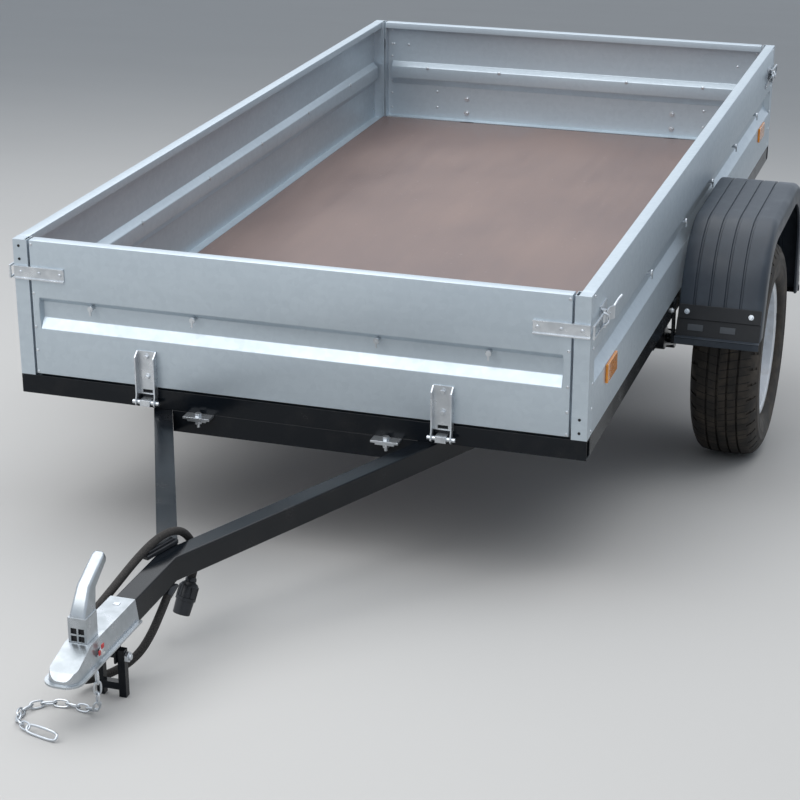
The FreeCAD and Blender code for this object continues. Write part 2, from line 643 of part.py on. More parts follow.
def make_axle():
    """Axle tube with its brackets under the side rails, swing arms and stub axles."""
    pitch_y = "axle_place - swing_length"
    axle_z = "-axle_drop + swing_drop"
    sub_part("axle_beam", tube("axle_tube", ["2 * " + AXLE_END, "axle_size", "axle_size"],
             ["-" + AXLE_END, pitch_y + " - axle_size / 2", axle_z + " - axle_size / 2"],
             "axle_wall", "x"))
    web = block("hanger_web", ["axle_size", "1.6 * axle_size",
                               "axle_drop - swing_drop - axle_size / 2 - beam_height"],
                [AXLE_END + " - axle_size", pitch_y + " - 0.8 * axle_size",
                 axle_z + " + axle_size / 2"])
    plate = block("hanger_plate", ["axle_inset + axle_size", "2.6 * axle_size", "axle_wall"],
                  [AXLE_END + " - axle_size", pitch_y + " - 1.3 * axle_size",
                   "-beam_height - axle_wall"])
    hollow = block("hanger_hollow", ["axle_size", "1.6 * axle_size - 2 * axle_wall",
                                     "axle_drop - swing_drop - axle_size / 2 - beam_height"
                                     " - 2 * axle_wall"],
                   [AXLE_END + " - axle_size - axle_wall",
                    pitch_y + " - 0.8 * axle_size + axle_wall",
                    axle_z + " + axle_size / 2 + axle_wall"])
    hanger = cut("hanger_right", fuse("hanger_block", [web, plate]), hollow)
    sub_part("axle_hangers", gather("hangers", [hanger, mirrored("hanger_left", hanger)]))
    eye = prism("swing_eye_right", 12, "swing_eye", "swing_wall", [AXLE_END, pitch_y, axle_z])
    boss = prism("swing_boss_right", 12, "swing_boss", "swing_wall",
                 [AXLE_END, "axle_place", "-axle_drop"])
    lever = padded("swing_web", "YZ_Plane",
                   [(pitch_y, axle_z + " - 0.7 * swing_eye"), (pitch_y, axle_z + " + 0.7 * swing_eye"),
                    ("axle_place", "-axle_drop + 0.7 * swing_boss"),
                    ("axle_place", "-axle_drop - 0.7 * swing_boss")], "swing_wall")
    placed = moved("swing_web_placed", lever, across=AXLE_END + " + swing_wall / 2")
    stub = prism("stub_right", 16, "stub_radius", "axle_inset + wheel_outset - swing_wall + rim_dish / 3",
                 [AXLE_END + " + swing_wall", "axle_place", "-axle_drop"])
    arm = fuse("swing_right", [eye, boss, placed, stub])
    sub_part("swing_arm_right", arm)
    sub_part("swing_arm_left", mirrored("swing_left", arm))


def faceted(sides, stations, base, way):
    """A many-sided bar along a direction: each station is a distance and a radius there."""
    across = way.cross(Vector(0, 0, 1) if abs(way.z) < 0.9 else Vector(1, 0, 0)).normalize()
    rings = []
    for distance, radius in stations:
        rings.append([base + way * distance + Rotation(
            way, 360 * (number + 0.5) / sides).multVec(across) * radius
            for number in range(sides)])
    faces = [Part.Face(Part.makePolygon(ring + ring[:1])) for ring in (rings[0], rings[-1])]
    for ring, following in zip(rings, rings[1:]):
        for here in range(sides):
            after = (here + 1) % sides
            faces.append(Part.Face(Part.makePolygon(
                [ring[here], ring[after], following[after], following[here], ring[here]])))
    solid = Part.Solid(Part.Shell(faces))
    if solid.Volume < 0:
        solid.reverse()
    return solid


def pin_hole(facets, radius, length, base):
    """A many-sided hole across the trailer that clears a pin of this radius as it turns."""
    around = (radius + PIN_GAP) / math.cos(math.pi / facets)
    return faceted(facets, [(0, around), (length, around)], base, Vector(1, 0, 0))


def turned(section, facets):
    """A ring of flat facets with this section: how far out from the wheel's middle, and radius.

    The facets' middles lie on the radius, and the wheel stands on one of them when parked.
    """
    half_step = math.pi / facets
    angles = [math.radians(size("park_pitch")) + (2 * number + 1) * half_step
              for number in range(facets)]
    rings = []
    for out, radius in section:
        corner = radius / math.cos(half_step)
        rings.append([Vector(out, -corner * math.sin(angle), -corner * math.cos(angle))
                      for angle in angles])
    faces = []
    for ring, following in zip(rings, rings[1:] + rings[:1]):
        for here in range(facets):
            after = (here + 1) % facets
            faces.append(Part.Face(Part.makePolygon(
                [ring[here], ring[after], following[after], following[here], ring[here]])))
    solid = Part.Solid(Part.Shell(faces))
    if solid.Volume < 0:
        solid.reverse()
    return solid


def make_wheels():
    """Tyre, pressed rim with its disc, and hub on each side, turned from half sections.

    Each point is how far out from the tyre's middle, and the radius.
    """
    seat_radius = size("rim_radius")
    lip = seat_radius + size("rim_lip")
    tread = size("tyre_radius")
    wall = size("tyre_wall")
    flank = size("tyre_width") / 2
    face = size("tread_width") / 2
    bead = size("rim_width") / 2 - size("rim_wall") - 3 * SEAT_GAP
    belly = (lip + tread) / 2
    outside = [(bead, seat_radius + SEAT_GAP), (bead, lip + wall / 2), (flank, belly),
               (face, tread - wall / 2), (face - wall, tread)]
    inside = [(face - wall, tread - wall), (flank - wall, belly),
              (bead - wall, seat_radius + SEAT_GAP)]
    half = inside + outside
    tyre = ([(-out, radius) for out, radius in reversed(outside)]
            + [(-out, radius) for out, radius in reversed(inside)] + half)

    edge = size("rim_width") / 2
    plate = size("rim_wall")
    seat = edge - plate
    well = seat_radius - size("rim_well")
    dish = size("rim_dish")
    drum = size("hub_radius")
    bore = size("hub_bore")
    tyre_side = [(-edge, lip), (-seat, lip), (-seat, seat_radius), (-edge / 2, seat_radius),
                 (-edge / 2 + plate, well), (plate, well), (3 * plate, seat_radius),
                 (seat, seat_radius), (seat, lip), (edge, lip)]
    hub_side = [(edge, seat_radius - plate), (4 * plate, seat_radius - plate),
                (2.5 * plate, well - plate), (dish, drum * 1.5),
                (dish, bore), (dish - plate, bore), (dish - plate, drum * 1.4),
                (plate, well - plate),
                (-edge / 2 - plate / 2, well - plate), (-edge / 2 - plate, seat_radius - plate),
                (-edge, seat_radius - plate)]
    rim = tyre_side + hub_side

    behind = dish - plate - SEAT_GAP
    deep = 10 * plate
    cap = bore - 2
    hub = faceted(HUB_FACETS, [(0, drum), (deep - 2 * plate, drum), (deep - 2 * plate, drum * 1.2),
                               (deep, drum * 1.2), (deep, cap), (deep + 5 * plate, cap),
                               (deep + 6.5 * plate, cap * 0.7)],
                  Vector(behind - deep, 0, 0), Vector(1, 0, 0))
    # the stub axle ends inside the hub's cap
    hole = pin_hole(HUB_FACETS, size("stub_radius"), dish / 3 + SEAT_GAP - behind + deep,
                    Vector(behind - deep, 0, 0))
    pieces = {"tyre": turned(tyre, WHEEL_FACETS), "rim": turned(rim, WHEEL_FACETS),
              "hub": hub.cut(hole)}
    for label, solid in pieces.items():
        right = shape(label + "_turned", solid)
        placed = moved(label + "_placed", right, "body_width / 2 + wheel_outset", "axle_place",
                       "-axle_drop")
        sub_part(label + "_right", placed)
        sub_part(label + "_left", mirrored(label + "_mirrored", placed))


def fender_ends():
    """The mudguard's ends: which way, how far from the wheel's centre, how far down, slope."""
    return [(-1, size("fender_front"), size("fender_drop"), math.radians(size("fender_slope"))),
            (1, size("fender_rear"), size("fender_rear_drop"),
             math.radians(size("fender_rear_slope")))]


def arch(inset, further, x):
    """The mudguard's outline from the side, inset from its outer face, its ends run on down."""
    middle = size("axle_place")
    crown = size("fender_crown")
    radius = size("fender_bend") - inset
    edges = []
    points = []
    for hand, length, fall, slope in fender_ends():
        # foot of the end's slope and the corner where it would meet the top
        foot = length - inset * math.sin(slope)
        foot_down = fall - inset * math.cos(slope)
        corner = foot - (foot_down - inset) / math.tan(slope)
        reach = radius * math.tan(slope / 2)
        low = foot + (fall + further - foot_down) / math.tan(slope)
        end = Vector(x, middle + hand * low, crown - fall - further)
        knee = Vector(x, middle + hand * (corner + reach * math.cos(slope)),
                      crown - inset - reach * math.sin(slope))
        flat = Vector(x, middle + hand * (corner - reach), crown - inset)
        half_turn = slope / 2
        bulge = Vector(x, flat.y + hand * radius * math.sin(half_turn),
                       flat.z - radius * (1 - math.cos(half_turn)))
        edges += [Part.makeLine(end, knee), Part.Arc(knee, bulge, flat).toShape()]
        points += [end, flat]
    # level from the front end to under the wheel's centre, then down to the rear end
    turn_down = Vector(x, middle, points[0].z)
    edges += [Part.makeLine(points[1], points[3]), Part.makeLine(points[0], turn_down),
              Part.makeLine(turn_down, points[2])]
    return Part.Wire(Part.sortEdges(edges)[0])


def make_fender():
    """Moulded mudguard: a flattened arch with a side lip that leaves the wheel in view."""
    inner = size("body_width") / 2 + size("fender_gap")
    width = size("fender_width")
    wall = size("fender_wall")
    skirt = size("fender_skirt")
    solid = Part.Face(arch(0, 0, inner)).extrude(Vector(width, 0, 0))
    hollow = Part.Face(arch(wall, skirt, inner)).extrude(Vector(width - wall, 0, 0))
    opening = Part.Face(arch(skirt, skirt, inner + width - 2 * wall)).extrude(
        Vector(3 * wall, 0, 0))
    lip = size("fender_lip")
    stay = size("stay_wall")
    bracket = size("stay_width")
    side = size("body_width") / 2
    lips = []
    stays = []
    for hand, length, fall, slope in fender_ends():
        end = size("axle_place") + hand * length
        low = size("fender_crown") - fall
        lips.append(Part.makeBox(width, lip + wall, wall,
                                 Vector(inner, end - (lip if hand < 0 else wall), low)))
        near = end - (0 if hand < 0 else bracket)
        plate = Part.makeBox(stay, bracket, -low + 4 * stay, Vector(side, near, low - 4 * stay))
        # the shelf ends short of the mudguard's side lip
        shelf = Part.makeBox(inner + width - 2 * wall - side, bracket, stay,
                             Vector(side, near, low - stay - SEAT_GAP))
        stays.append(plate.fuse(shelf).removeSplitter())
    right = shape("mudguard_right", solid.cut([hollow, opening]).fuse(lips).removeSplitter())
    sub_part("fender_right", right)
    sub_part("fender_left", mirrored("mudguard_left", right))
    right_stays = shape("stays_right", Part.makeCompound(stays))
    sub_part("fender_stays", gather("stays", [right_stays,
                                              mirrored("stays_left", right_stays)]))


def make_hinges():
    """Hinge lugs on the frame and straps on the two boards that open, drawn at the front."""
    out = size("hinge_out")
    pin_z = -size("hinge_drop")
    wall = size("hinge_wall")
    eye = size("hinge_eye")
    half = size("hinge_width") / 2
    top = size("hinge_top")
    low = -size("hinge_foot")
    place = size("hinge_place")
    # one flange seen from the side: how far out from the board, and up
    flange = [(0, top), (wall, top), (out + wall, top - 1.5 * eye), (out + wall, low),
              (out + eye, pin_z + eye / 2), (out + eye, pin_z - eye / 2),
              (out + eye / 2, pin_z - eye), (out - eye / 2, pin_z - eye),
              (out - eye, pin_z - eye / 2), (out - eye, low), (0, low)]
    outline = [Vector(0, -across, up) for across, up in flange]
    side = Part.Face(Part.makePolygon(outline + outline[:1])).extrude(Vector(wall, 0, 0))
    strap = Part.makeBox(2 * half, wall, top - low, Vector(-half, -wall, low))
    window = Part.makeBox(half, 3 * wall, eye, Vector(-half / 2, -2 * wall, low + wall))
    hole = pin_hole(PIN_FACETS, size("hinge_pin"), 2 * half, Vector(-half, -out, pin_z))
    for edge in (-half, half - wall):
        strap = strap.fuse(side.translated(Vector(edge, 0, 0)))
    strap = strap.cut([window, hole]).removeSplitter()
    lug_half = size("hinge_lug") / 2
    lug = Part.makeBox(2 * lug_half, out + eye, 2 * eye - 2,
                       Vector(-lug_half, -out - eye, pin_z - eye + 1))
    pin = faceted(PIN_FACETS, [(0, size("hinge_pin")), (2 * half + 2 * eye, size("hinge_pin"))],
                  Vector(-half - eye, -out, pin_z), Vector(1, 0, 0))
    lug = lug.fuse(pin).removeSplitter()

    band = size("latch_band")
    inboard = size("latch_inboard")
    lip = size("latch_wall")
    level = size("latch_height")
    latch = Part.makeBox(inboard, size("latch_depth"), band,
                         Vector(-inboard, -size("latch_depth"), level - band / 2))
    latch = latch.cut(Part.makeBox(inboard, size("latch_depth"), band - 2 * lip,
                                   Vector(-inboard, -size("latch_depth") - lip,
                                          level - band / 2 + lip)))
    latch.translate(Vector(size("body_width") / 2, 0, 0))

    straps = [strap.translated(Vector(place, 0, 0)), strap.translated(Vector(-place, 0, 0)),
              latch, latch.mirror(Vector(), Vector(1, 0, 0))]
    front_straps = shape("front_straps", Part.makeCompound(straps))
    sub_part("front_board_straps", front_straps)
    sub_part("tailgate_straps", turned_round("rear_straps", front_straps))
    front_lugs = shape("front_lugs", Part.makeCompound(
        [lug.translated(Vector(place, 0, 0)), lug.translated(Vector(-place, 0, 0))]))
    sub_part("hinge_lugs", gather("lugs", [front_lugs, turned_round("rear_lugs", front_lugs)]))


def four_corners(name, piece):
    """A piece at the front right corner and its copies at the other three."""
    pair = [piece, mirrored(name + "_left", piece)]
    return gather(name + "_all", pair + [turned_round("%s_rear" % one.Name, one) for one in pair])


def make_fittings():
    """Toggle latches and reflectors on the side boards, and the rear lamps."""
    side = "body_width / 2"
    low = "latch_height - clasp_height / 2"
    plate = block("clasp_plate", ["latch_wall", "clasp_length", "clasp_height"],
                  [side, "clasp_place", low])
    barrel = prism("clasp_barrel", 8, "1.5 * bail_wire", "clasp_height * 0.7",
                   [side + " + latch_wall + bail_wire", "clasp_place + 3 * bail_wire",
                    "latch_height - clasp_height * 0.35"], "z")
    # the lever's plan: how far out from the side, and along
    lever = padded("clasp_lever", "XY_Plane",
                   [(side + " + " + out, "clasp_place + " + along) for out, along in (
                       ("latch_wall + bail_wire", "2 * bail_wire"),
                       ("latch_wall + 2.5 * bail_wire", "2 * bail_wire"),
                       ("latch_wall + 2.5 * bail_wire", "clasp_length * 0.75"),
                       ("latch_wall + 4.5 * bail_wire", "clasp_length"),
                       ("latch_wall + 3.8 * bail_wire", "clasp_length * 1.04"),
                       ("latch_wall + 1.8 * bail_wire", "clasp_length * 0.8"),
                       ("latch_wall + 1.8 * bail_wire", "4 * bail_wire"),
                       ("latch_wall + bail_wire", "4 * bail_wire"))], "clasp_height * 0.5")
    lifted = moved("clasp_lever_placed", lever, up="latch_height")
    bail = padded("bail", "YZ_Plane",
                  [("-1.5 * bail_wire", "-latch_band / 2"), ("-1.5 * bail_wire", "latch_band / 2"),
                   ("clasp_place + 4 * bail_wire", "latch_band / 2"),
                   ("clasp_place + 4 * bail_wire", "-latch_band / 2")], "bail_wire",
                  [("Pocket", [("-0.5 * bail_wire", "-latch_band / 2 + bail_wire"),
                               ("-0.5 * bail_wire", "latch_band / 2 - bail_wire"),
                               ("clasp_place + 3 * bail_wire", "latch_band / 2 - bail_wire"),
                               ("clasp_place + 3 * bail_wire", "-latch_band / 2 + bail_wire")],
                    "bail_wire")])
    hung = moved("bail_placed", bail, across=side + " + bail_out + bail_wire / 2",
                 up="latch_height")
    clasp = fuse("clasp", [plate, barrel, lifted, hung])
    sub_part("latch_clasps", four_corners("clasp", clasp))
    reflector = block("reflector", ["bail_out", "reflector_length", "reflector_height"],
                      [side, "reflector_place", "reflector_rise"])
    sub_part("side_reflectors", four_corners("reflector", reflector))
    housing = block("lamp_housing", ["lamp_length", "lamp_depth - lamp_lens", "lamp_height"],
                    ["lamp_place - lamp_length / 2", "body_length - lamp_depth",
                     "-beam_height - lamp_height"])
    lens = block("lamp_glass", ["lamp_length - 2 * lamp_rim", "lamp_lens",
                                "lamp_height - 2 * lamp_rim"],
                 ["lamp_place - lamp_length / 2 + lamp_rim", "body_length - lamp_lens",
                  "-beam_height - lamp_height + lamp_rim"])
    lamp = fuse("lamp_right", [housing, lens])
    sub_part("tail_lamps", gather("lamps", [lamp, mirrored("lamp_left", lamp)]))


# Where the chain hangs under the coupler's flange: across, along and up
CHAIN_HANG = [(31, -1040, -120), (27, -1034, -152), (16, -1024, -176)]
# Where it lies on the ground: across, and along the trailer
CHAIN_RUN = [(-6, -1015), (-30, -1010), (-56, -1008), (-80, -1016), (-98, -1036), (-104, -1064),
             (-98, -1094), (-80, -1118), (-54, -1134)]


def ground(along):
    """Height of the ground on the level frame at this place along the trailer."""
    pitch = math.radians(size("park_pitch"))
    return (-size("axle_drop") - (size("tyre_radius") + math.sin(pitch)
            * (along - size("axle_place"))) / math.cos(pitch))


def barred_ring(inner_length, outer_width, wire, start, along, across):
    """A welded ring of eight straight many-sided bars: a chain link, or the hook's body."""
    normal = across.cross(along)
    bend = (outer_width - wire) / 2
    straight = (inner_length + wire) / 2 - bend
    corner = bend / math.cos(math.radians(22.5))
    spine = []
    for degrees in range(4):
        angle = math.radians(22.5 + 45 * degrees)
        spine.append((corner * math.cos(angle), straight + corner * math.sin(angle), angle))
    for degrees in range(4, 8):
        angle = math.radians(22.5 + 45 * degrees)
        spine.append((corner * math.cos(angle), -straight + corner * math.sin(angle), angle))
    middle = start + along * (inner_length / 2 + wire / 2)
    rings = []
    for out, forth, angle in spine:
        # a corner's section lies in the plane through the bend's axis
        away = across * math.cos(angle) + along * math.sin(angle)
        rings.append([middle + across * out + along * forth
                      + away * (wire / 2 * math.cos(side) / math.cos(math.radians(22.5)))
                      + normal * (wire / 2 * math.sin(side))
                      for side in (math.radians(360 / WIRE_FACETS * number)
                                   for number in range(WIRE_FACETS))])
    faces = []
    for ring, following in zip(rings, rings[1:] + rings[:1]):
        for here in range(WIRE_FACETS):
            after = (here + 1) % WIRE_FACETS
            faces.append(Part.Face(Part.makePolygon(
                [ring[here], ring[after], following[after], following[here], ring[here]])))
    solid = Part.Solid(Part.Shell(faces))
    if solid.Volume < 0:
        solid.reverse()
    return solid


def make_chain():
    """Safety chain: from under the coupler down to the ground, then curled on it to its hook."""
    wire = size("chain_wire")
    width = size("chain_width")
    # the ends of two links meet on the flats of their wire
    step = size("chain_pitch") + wire * (1 - math.cos(math.pi / WIRE_FACETS)) - SEAT_GAP
    rise = (width - wire) / 2 * math.sin(math.radians(45)) + wire / 2 + SEAT_GAP
    sole = -size("beam_height") - size("coupler_drop")
    across, along = CHAIN_HANG[0][:2]
    points = [Vector(across, along, sole - wire - SEAT_GAP)]
    points += [Vector(*place) for place in CHAIN_HANG]
    # the last two points lie higher, because the hook is wider than the links
    hook_wire = size("hook_wire")
    hook_rise = ((size("hook_width") - hook_wire) / 2 * math.sin(math.radians(45))
                 + hook_wire / 2 + SEAT_GAP)
    heights = [rise] * (len(CHAIN_RUN) - 2) + [hook_rise] * 2
    points += [Vector(x, y, ground(y) + height) for (x, y), height in zip(CHAIN_RUN, heights)]
    line = Part.makePolygon(points)
    count = int(line.Length / step)
    knots = line.discretize(Distance=step)[:count + 1]
    links = []
    for number, (start, end) in enumerate(zip(knots, knots[1:])):
        forward = (end - start).normalize()
        side = Vector(0, 1, 0) if abs(forward.z) > 0.8 else Vector(0, 0, 1)
        flat = forward.cross(side).normalize()
        # neighbours stand at right angles, each leaning half way over
        lean = Rotation(forward, -45 if number % 2 else 45)
        middle = (start + end) * 0.5
        half = (size("chain_pitch") + wire) / 2
        links.append(barred_ring(size("chain_pitch"), width, wire, middle - forward * half,
                                 forward, lean.multVec(flat)))
    last = knots[-1]
    forth = -0.3
    hook_way = Vector(1, forth, ground(last.y + forth) - ground(last.y)).normalize()
    hook_start = last - hook_way * (hook_wire * 0.62)
    tilt = Rotation(hook_way, 45 if count % 2 else -45)
    links.append(barred_ring(size("hook_length"), size("hook_width"), hook_wire, hook_start,
                             hook_way, tilt.multVec(hook_way.cross(Vector(0, 0, 1)).normalize())))
    sub_part("safety_chain", shape("chain", Part.makeCompound(links)))


# Points of the cable's route on the level frame, from its gland to the hanging plug
CABLE = [(14, -706, -110), (14, -742, -131), (13, -780, -152), (7, -818, -171),
         (-10, -850, -185), (-32, -876, -192), (-50, -902, -191), (-58, -932, -178),
         (-60, -956, -152), (-60, -962, -120), (-57, -948, -90), (-53, -918, -73),
         (-50, -882, -66), (-47, -804, -55), (-38, -720, -34), (-26, -664, -20),
         (-14, -626, -17), (-4, -594, -27), (3, -571, -51), (8, -560, -81), (10, -563, -111),
         (5, -575, -138)]


def rounded_route(points):
    """Straight runs joined by tangent arcs as large as the two runs allow."""
    edges = []
    radii = []
    here = points[0]
    for before, corner, after in zip(points, points[1:], points[2:]):
        run_in = corner - before
        run_out = after - corner
        turn = run_in.getAngle(run_out)
        reach = 0.45 * min(run_in.Length, run_out.Length)
        radii.append(reach / math.tan(turn / 2))
        start = corner - run_in.normalize() * reach
        end = corner + run_out.normalize() * reach
        inward = (run_out - run_in).normalize()
        middle = corner + inward * (radii[-1] / math.cos(turn / 2) - radii[-1])
        edges.append(Part.LineSegment(here, start).toShape())
        edges.append(Part.Arc(start, middle, end).toShape())
        here = end
    edges.append(Part.LineSegment(here, points[-1]).toShape())
    return Part.Wire(edges), radii


def make_cable():
    """Sleeved cable from its gland to the plug that hangs under the drawbar."""
    points = [Vector(*place) for place in CABLE]
    path, radii = rounded_route(points)
    radius = size("cable_radius")
    corners = []
    sides = 5
    forward = (points[1] - points[0]).normalize()
    across = forward.cross(Vector(0, 0, 1)).normalize()
    for number in range(sides):
        turned_by = Rotation(forward, 360 * (number + 0.5) / sides)
        corners.append(points[0] + turned_by.multVec(across) * radius)
    profile = Part.makePolygon(corners + corners[:1])
    cable = path.makePipeShell([profile], True, True)
    section = sides / 2 * radius ** 2 * math.sin(2 * math.pi / sides)
    print("cable length %.0f, volume share %.4f, radii %s"
          % (path.Length, cable.Volume / (section * path.Length),
             [round(value) for value in radii]))
    sub_part("cable", shape("cable_tube", cable))
    # a slanted sleeve that ends against the drawbar's underside
    under = -size("beam_height") - size("arm_height") - SEAT_GAP
    sleeve = faceted(8, [(0, radius + 1), (size("gland_length"), radius + 5)],
                     points[0], -forward)
    roof = Part.makeBox(200, 200, 100, Vector(points[0].x - 100, points[0].y - 100, under))
    sub_part("cable_gland", shape("gland", sleeve.cut(roof)))
    way = (points[-1] - points[-2]).normalize()
    bore = size("plug_radius")
    # share of the plug's length, and of its radius there: boot, collar and contact sleeve
    stations = [(0, 0.5), (0.12, 0.85), (0.2, 0.95), (0.5, 0.95), (0.51, 1), (0.58, 1),
                (0.59, 0.88), (1, 0.84)]
    stations = [(share * size("plug_length"), width * bore) for share, width in stations]
    sub_part("plug", shape("plug_shell", faceted(PIN_FACETS, stations, points[-1], way)))


make_frame()
make_boards()
make_drawbar()
make_coupler()
make_stand()
make_axle()
make_wheels()
make_fender()
make_hinges()
make_fittings()
make_chain()
make_cable()
doc.recompute()

# Lay the trailer down on its wheels and leg, and centre it over its origin
CORD_PARTS = ("cable", "plug")
pitch = size("park_pitch")
turn = Rotation(Vector(1, 0, 0), pitch)
centre = turn.multVec(Vector(0, size("axle_place"), -size("axle_drop")))
lift = size("tyre_radius") - centre.z


def lay_down(shift):
    """Give every sub-part the common parked placement."""
    for piece in parts.values():
        piece.Placement = Placement(Vector(0, shift, lift), turn)
    doc.recompute()


lay_down(0)
reach = [parts[label].Shape.optimalBoundingBox() for label in parts if label not in CORD_PARTS]
shift = -(min(box.YMin for box in reach) + max(box.YMax for box in reach)) / 2
lay_down(shift)
print("laid down by %.3f along and %.3f up" % (shift, lift))

for item in doc.Objects:
    assert "Invalid" not in item.State and "Error" not in item.State, item.Name
for label, piece in parts.items():
    assert not piece.Shape.isNull() and piece.Shape.isValid(), label

os.makedirs("parts", exist_ok=True)
for label, piece in parts.items():
    piece.Shape.exportStep("parts/%s.step" % label)
print("%d sub-parts" % len(parts))
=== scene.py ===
"""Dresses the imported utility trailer: folded galvanised boards, black drawbar, zinc fittings.

Pieces are drawn in millimetres on the level trailer: across (+ to the right, seen from the
front), along (from the front of the frame to the rear) and up from the frame's top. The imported
frame, the stage and the sizes in the sidebar are in metres.
"""

import json
import math

import bmesh
import bpy
from mathutils import Euler, Matrix, Vector

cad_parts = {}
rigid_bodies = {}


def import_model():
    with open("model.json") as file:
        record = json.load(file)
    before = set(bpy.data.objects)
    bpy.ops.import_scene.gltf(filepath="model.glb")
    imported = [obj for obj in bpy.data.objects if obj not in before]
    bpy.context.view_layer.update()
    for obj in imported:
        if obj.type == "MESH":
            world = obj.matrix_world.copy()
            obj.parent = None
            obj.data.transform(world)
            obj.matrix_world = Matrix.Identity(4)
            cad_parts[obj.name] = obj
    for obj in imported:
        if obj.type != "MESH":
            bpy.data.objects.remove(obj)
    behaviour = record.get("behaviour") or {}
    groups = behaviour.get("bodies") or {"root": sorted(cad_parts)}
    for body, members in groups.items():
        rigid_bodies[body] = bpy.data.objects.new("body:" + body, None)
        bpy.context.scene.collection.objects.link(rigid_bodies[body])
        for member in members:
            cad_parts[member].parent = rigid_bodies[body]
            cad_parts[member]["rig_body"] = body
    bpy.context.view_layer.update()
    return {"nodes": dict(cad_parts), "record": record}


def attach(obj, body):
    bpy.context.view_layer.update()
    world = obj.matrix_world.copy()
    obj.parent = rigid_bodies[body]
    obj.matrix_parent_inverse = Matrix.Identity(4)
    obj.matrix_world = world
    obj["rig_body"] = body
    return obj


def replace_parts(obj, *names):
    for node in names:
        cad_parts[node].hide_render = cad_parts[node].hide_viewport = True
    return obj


bl_info = {
    "name": "Utility trailer",
    "version": (1, 0, 0),
    "blender": (4, 5, 0),
    "location": "View3D > Sidebar > Trailer",
    "description": "Builds the looks of a utility trailer around its packed frame",
    "category": "Add Mesh",
}

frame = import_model()
RECORD = frame["record"]
MOUNTS = {mount["name"]: mount for mount in RECORD["mounts"]}

# Driving sizes and places, in millimetres on the level trailer
BODY_WIDTH = 1290
BODY_LENGTH = 2513
BOARD_HEIGHT = 314
BOARD_DEPTH = 27
BOARD_GAP = 5
SHEET = 1.5
POST_WIDTH = 34
POST_DEPTH = 29
RIM_LIP = 18
RIB_TOP = 184
RIB_BOTTOM = 112
RIB_RISE = 13
RIB_SLOPE = 22
RIB_END_SLOPE = 3
RIB_DEPTH = 17
RIB_STOP = 16
FOLD_RADIUS = 2.2
END_RIVETS = (305, 193, 115, 60, 10)
INNER_RIVETS = (285, 240, 200, 120, 78, 30)
FLOOR_TOP = 4
WHEEL_OUT = 757
WHEEL_ALONG = 1355
WHEEL_DROP = 250
TREAD_RADIUS = 287.5
TREAD_HALF = 64
TREAD_EDGE = 281.5
TREAD_GROOVE = 39
BOLT_CIRCLE = 49
VENT_CIRCLE = 106
HINGE_ACROSS = 337
HINGE_BOLTS = (75, 28)
CROWN = 165
FENDER_IN = 655
FENDER_WIDTH = 208
FENDER_BEND = 200
FENDER_SKIRT = 55
FENDER_LIP = 14
FENDER_WALL = 3.5
FENDER_ENDS = (
    # which way, how far from the wheel's centre, how far below the crown, slope in degrees
    (-1, 425, 254, 67),
    (1, 338, 350, 85),
)
LATCH_UP = 240
STRAP_RIVETS = (535, 585, 629)
LAMP_FOOT = -133.3
LAMP_HEIGHT = 83.6
COUPLER_TOP = -38.3
LEVER_CUT = 9.5

# How many sipes go round the tread, and how many staves round the plug
SIPES = 84
STAVES = 48

# The photograph's viewpoint on the level trailer: its focal length is in the photograph's pixels
PHOTO_WIDTH = 800
PHOTO_FOCAL = 2068.07
EYE = (1478.17, -3847.22, 1650.89)
SIGHT = (-0.28431, 0.88462, -0.36961)

# The sky's colour and its strength as light; the camera, reflections and glass see it at 1
SKY_COLOUR = (0.82, 0.90, 1.0)
SKY_LIGHT = 0.42
LAMPS = (
    # name, place, aim, size, power, colour
    ("overhead", (-0.6, 0.6, 5.5), (-0.1, 0.4, 0.3), 9.0, 400, (1.0, 0.985, 0.965)),
    ("front_above", (-1.6, -5.0, 4.0), (0, -0.9, 0.4), 4.6, 170, (1.0, 0.98, 0.96)),
)


def level_frame():
    """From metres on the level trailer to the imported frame, and the parked trailer's pitch."""
    floor = MOUNTS["cargo_floor"]
    up = Vector(floor["axis"])
    pitch = math.atan2(-up.y, up.z)
    turn = Matrix.Rotation(pitch, 4, "X")
    middle = turn @ Vector((0, BODY_LENGTH / 2, FLOOR_TOP)) / 1000
    return Matrix.Translation(Vector(floor["pos_m"]) - middle) @ turn, pitch


LEVEL, PITCH = level_frame()
IN_MILLIMETRES = LEVEL @ Matrix.Scale(0.001, 4)


def at(across, along, up):
    """A place on the level trailer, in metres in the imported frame."""
    return IN_MILLIMETRES @ Vector((across, along, up))


def turned(degrees, axis):
    """A turn about an axis."""
    return Matrix.Rotation(math.radians(degrees), 4, axis)


def side_name(hand):
    """A side's name, from its sign across."""
    return "right" if hand > 0 else "left"


# Shader maths

class Socket:
    """An output in a node tree; Python's operators on it add Math nodes."""

    def __init__(self, nodes, output):
        self.nodes = nodes
        self.output = output

    def maths(self, operation, *others):
        return self.nodes.node("ShaderNodeMath", {"operation": operation}, self, *others)

    def __add__(self, other):
        return self.maths("ADD", other)

    def __mul__(self, other):
        return self.maths("MULTIPLY", other)

    def __sub__(self, other):
        return self.maths("SUBTRACT", other)

    def __rsub__(self, other):
        return self.nodes.node("ShaderNodeMath", {"operation": "SUBTRACT"}, other, self)

    def __pow__(self, other):
        return self.maths("POWER", other)

    def __gt__(self, other):
        return self.maths("GREATER_THAN", other)

    def __lt__(self, other):
        return self.maths("LESS_THAN", other)

    __radd__ = __add__
    __rmul__ = __mul__


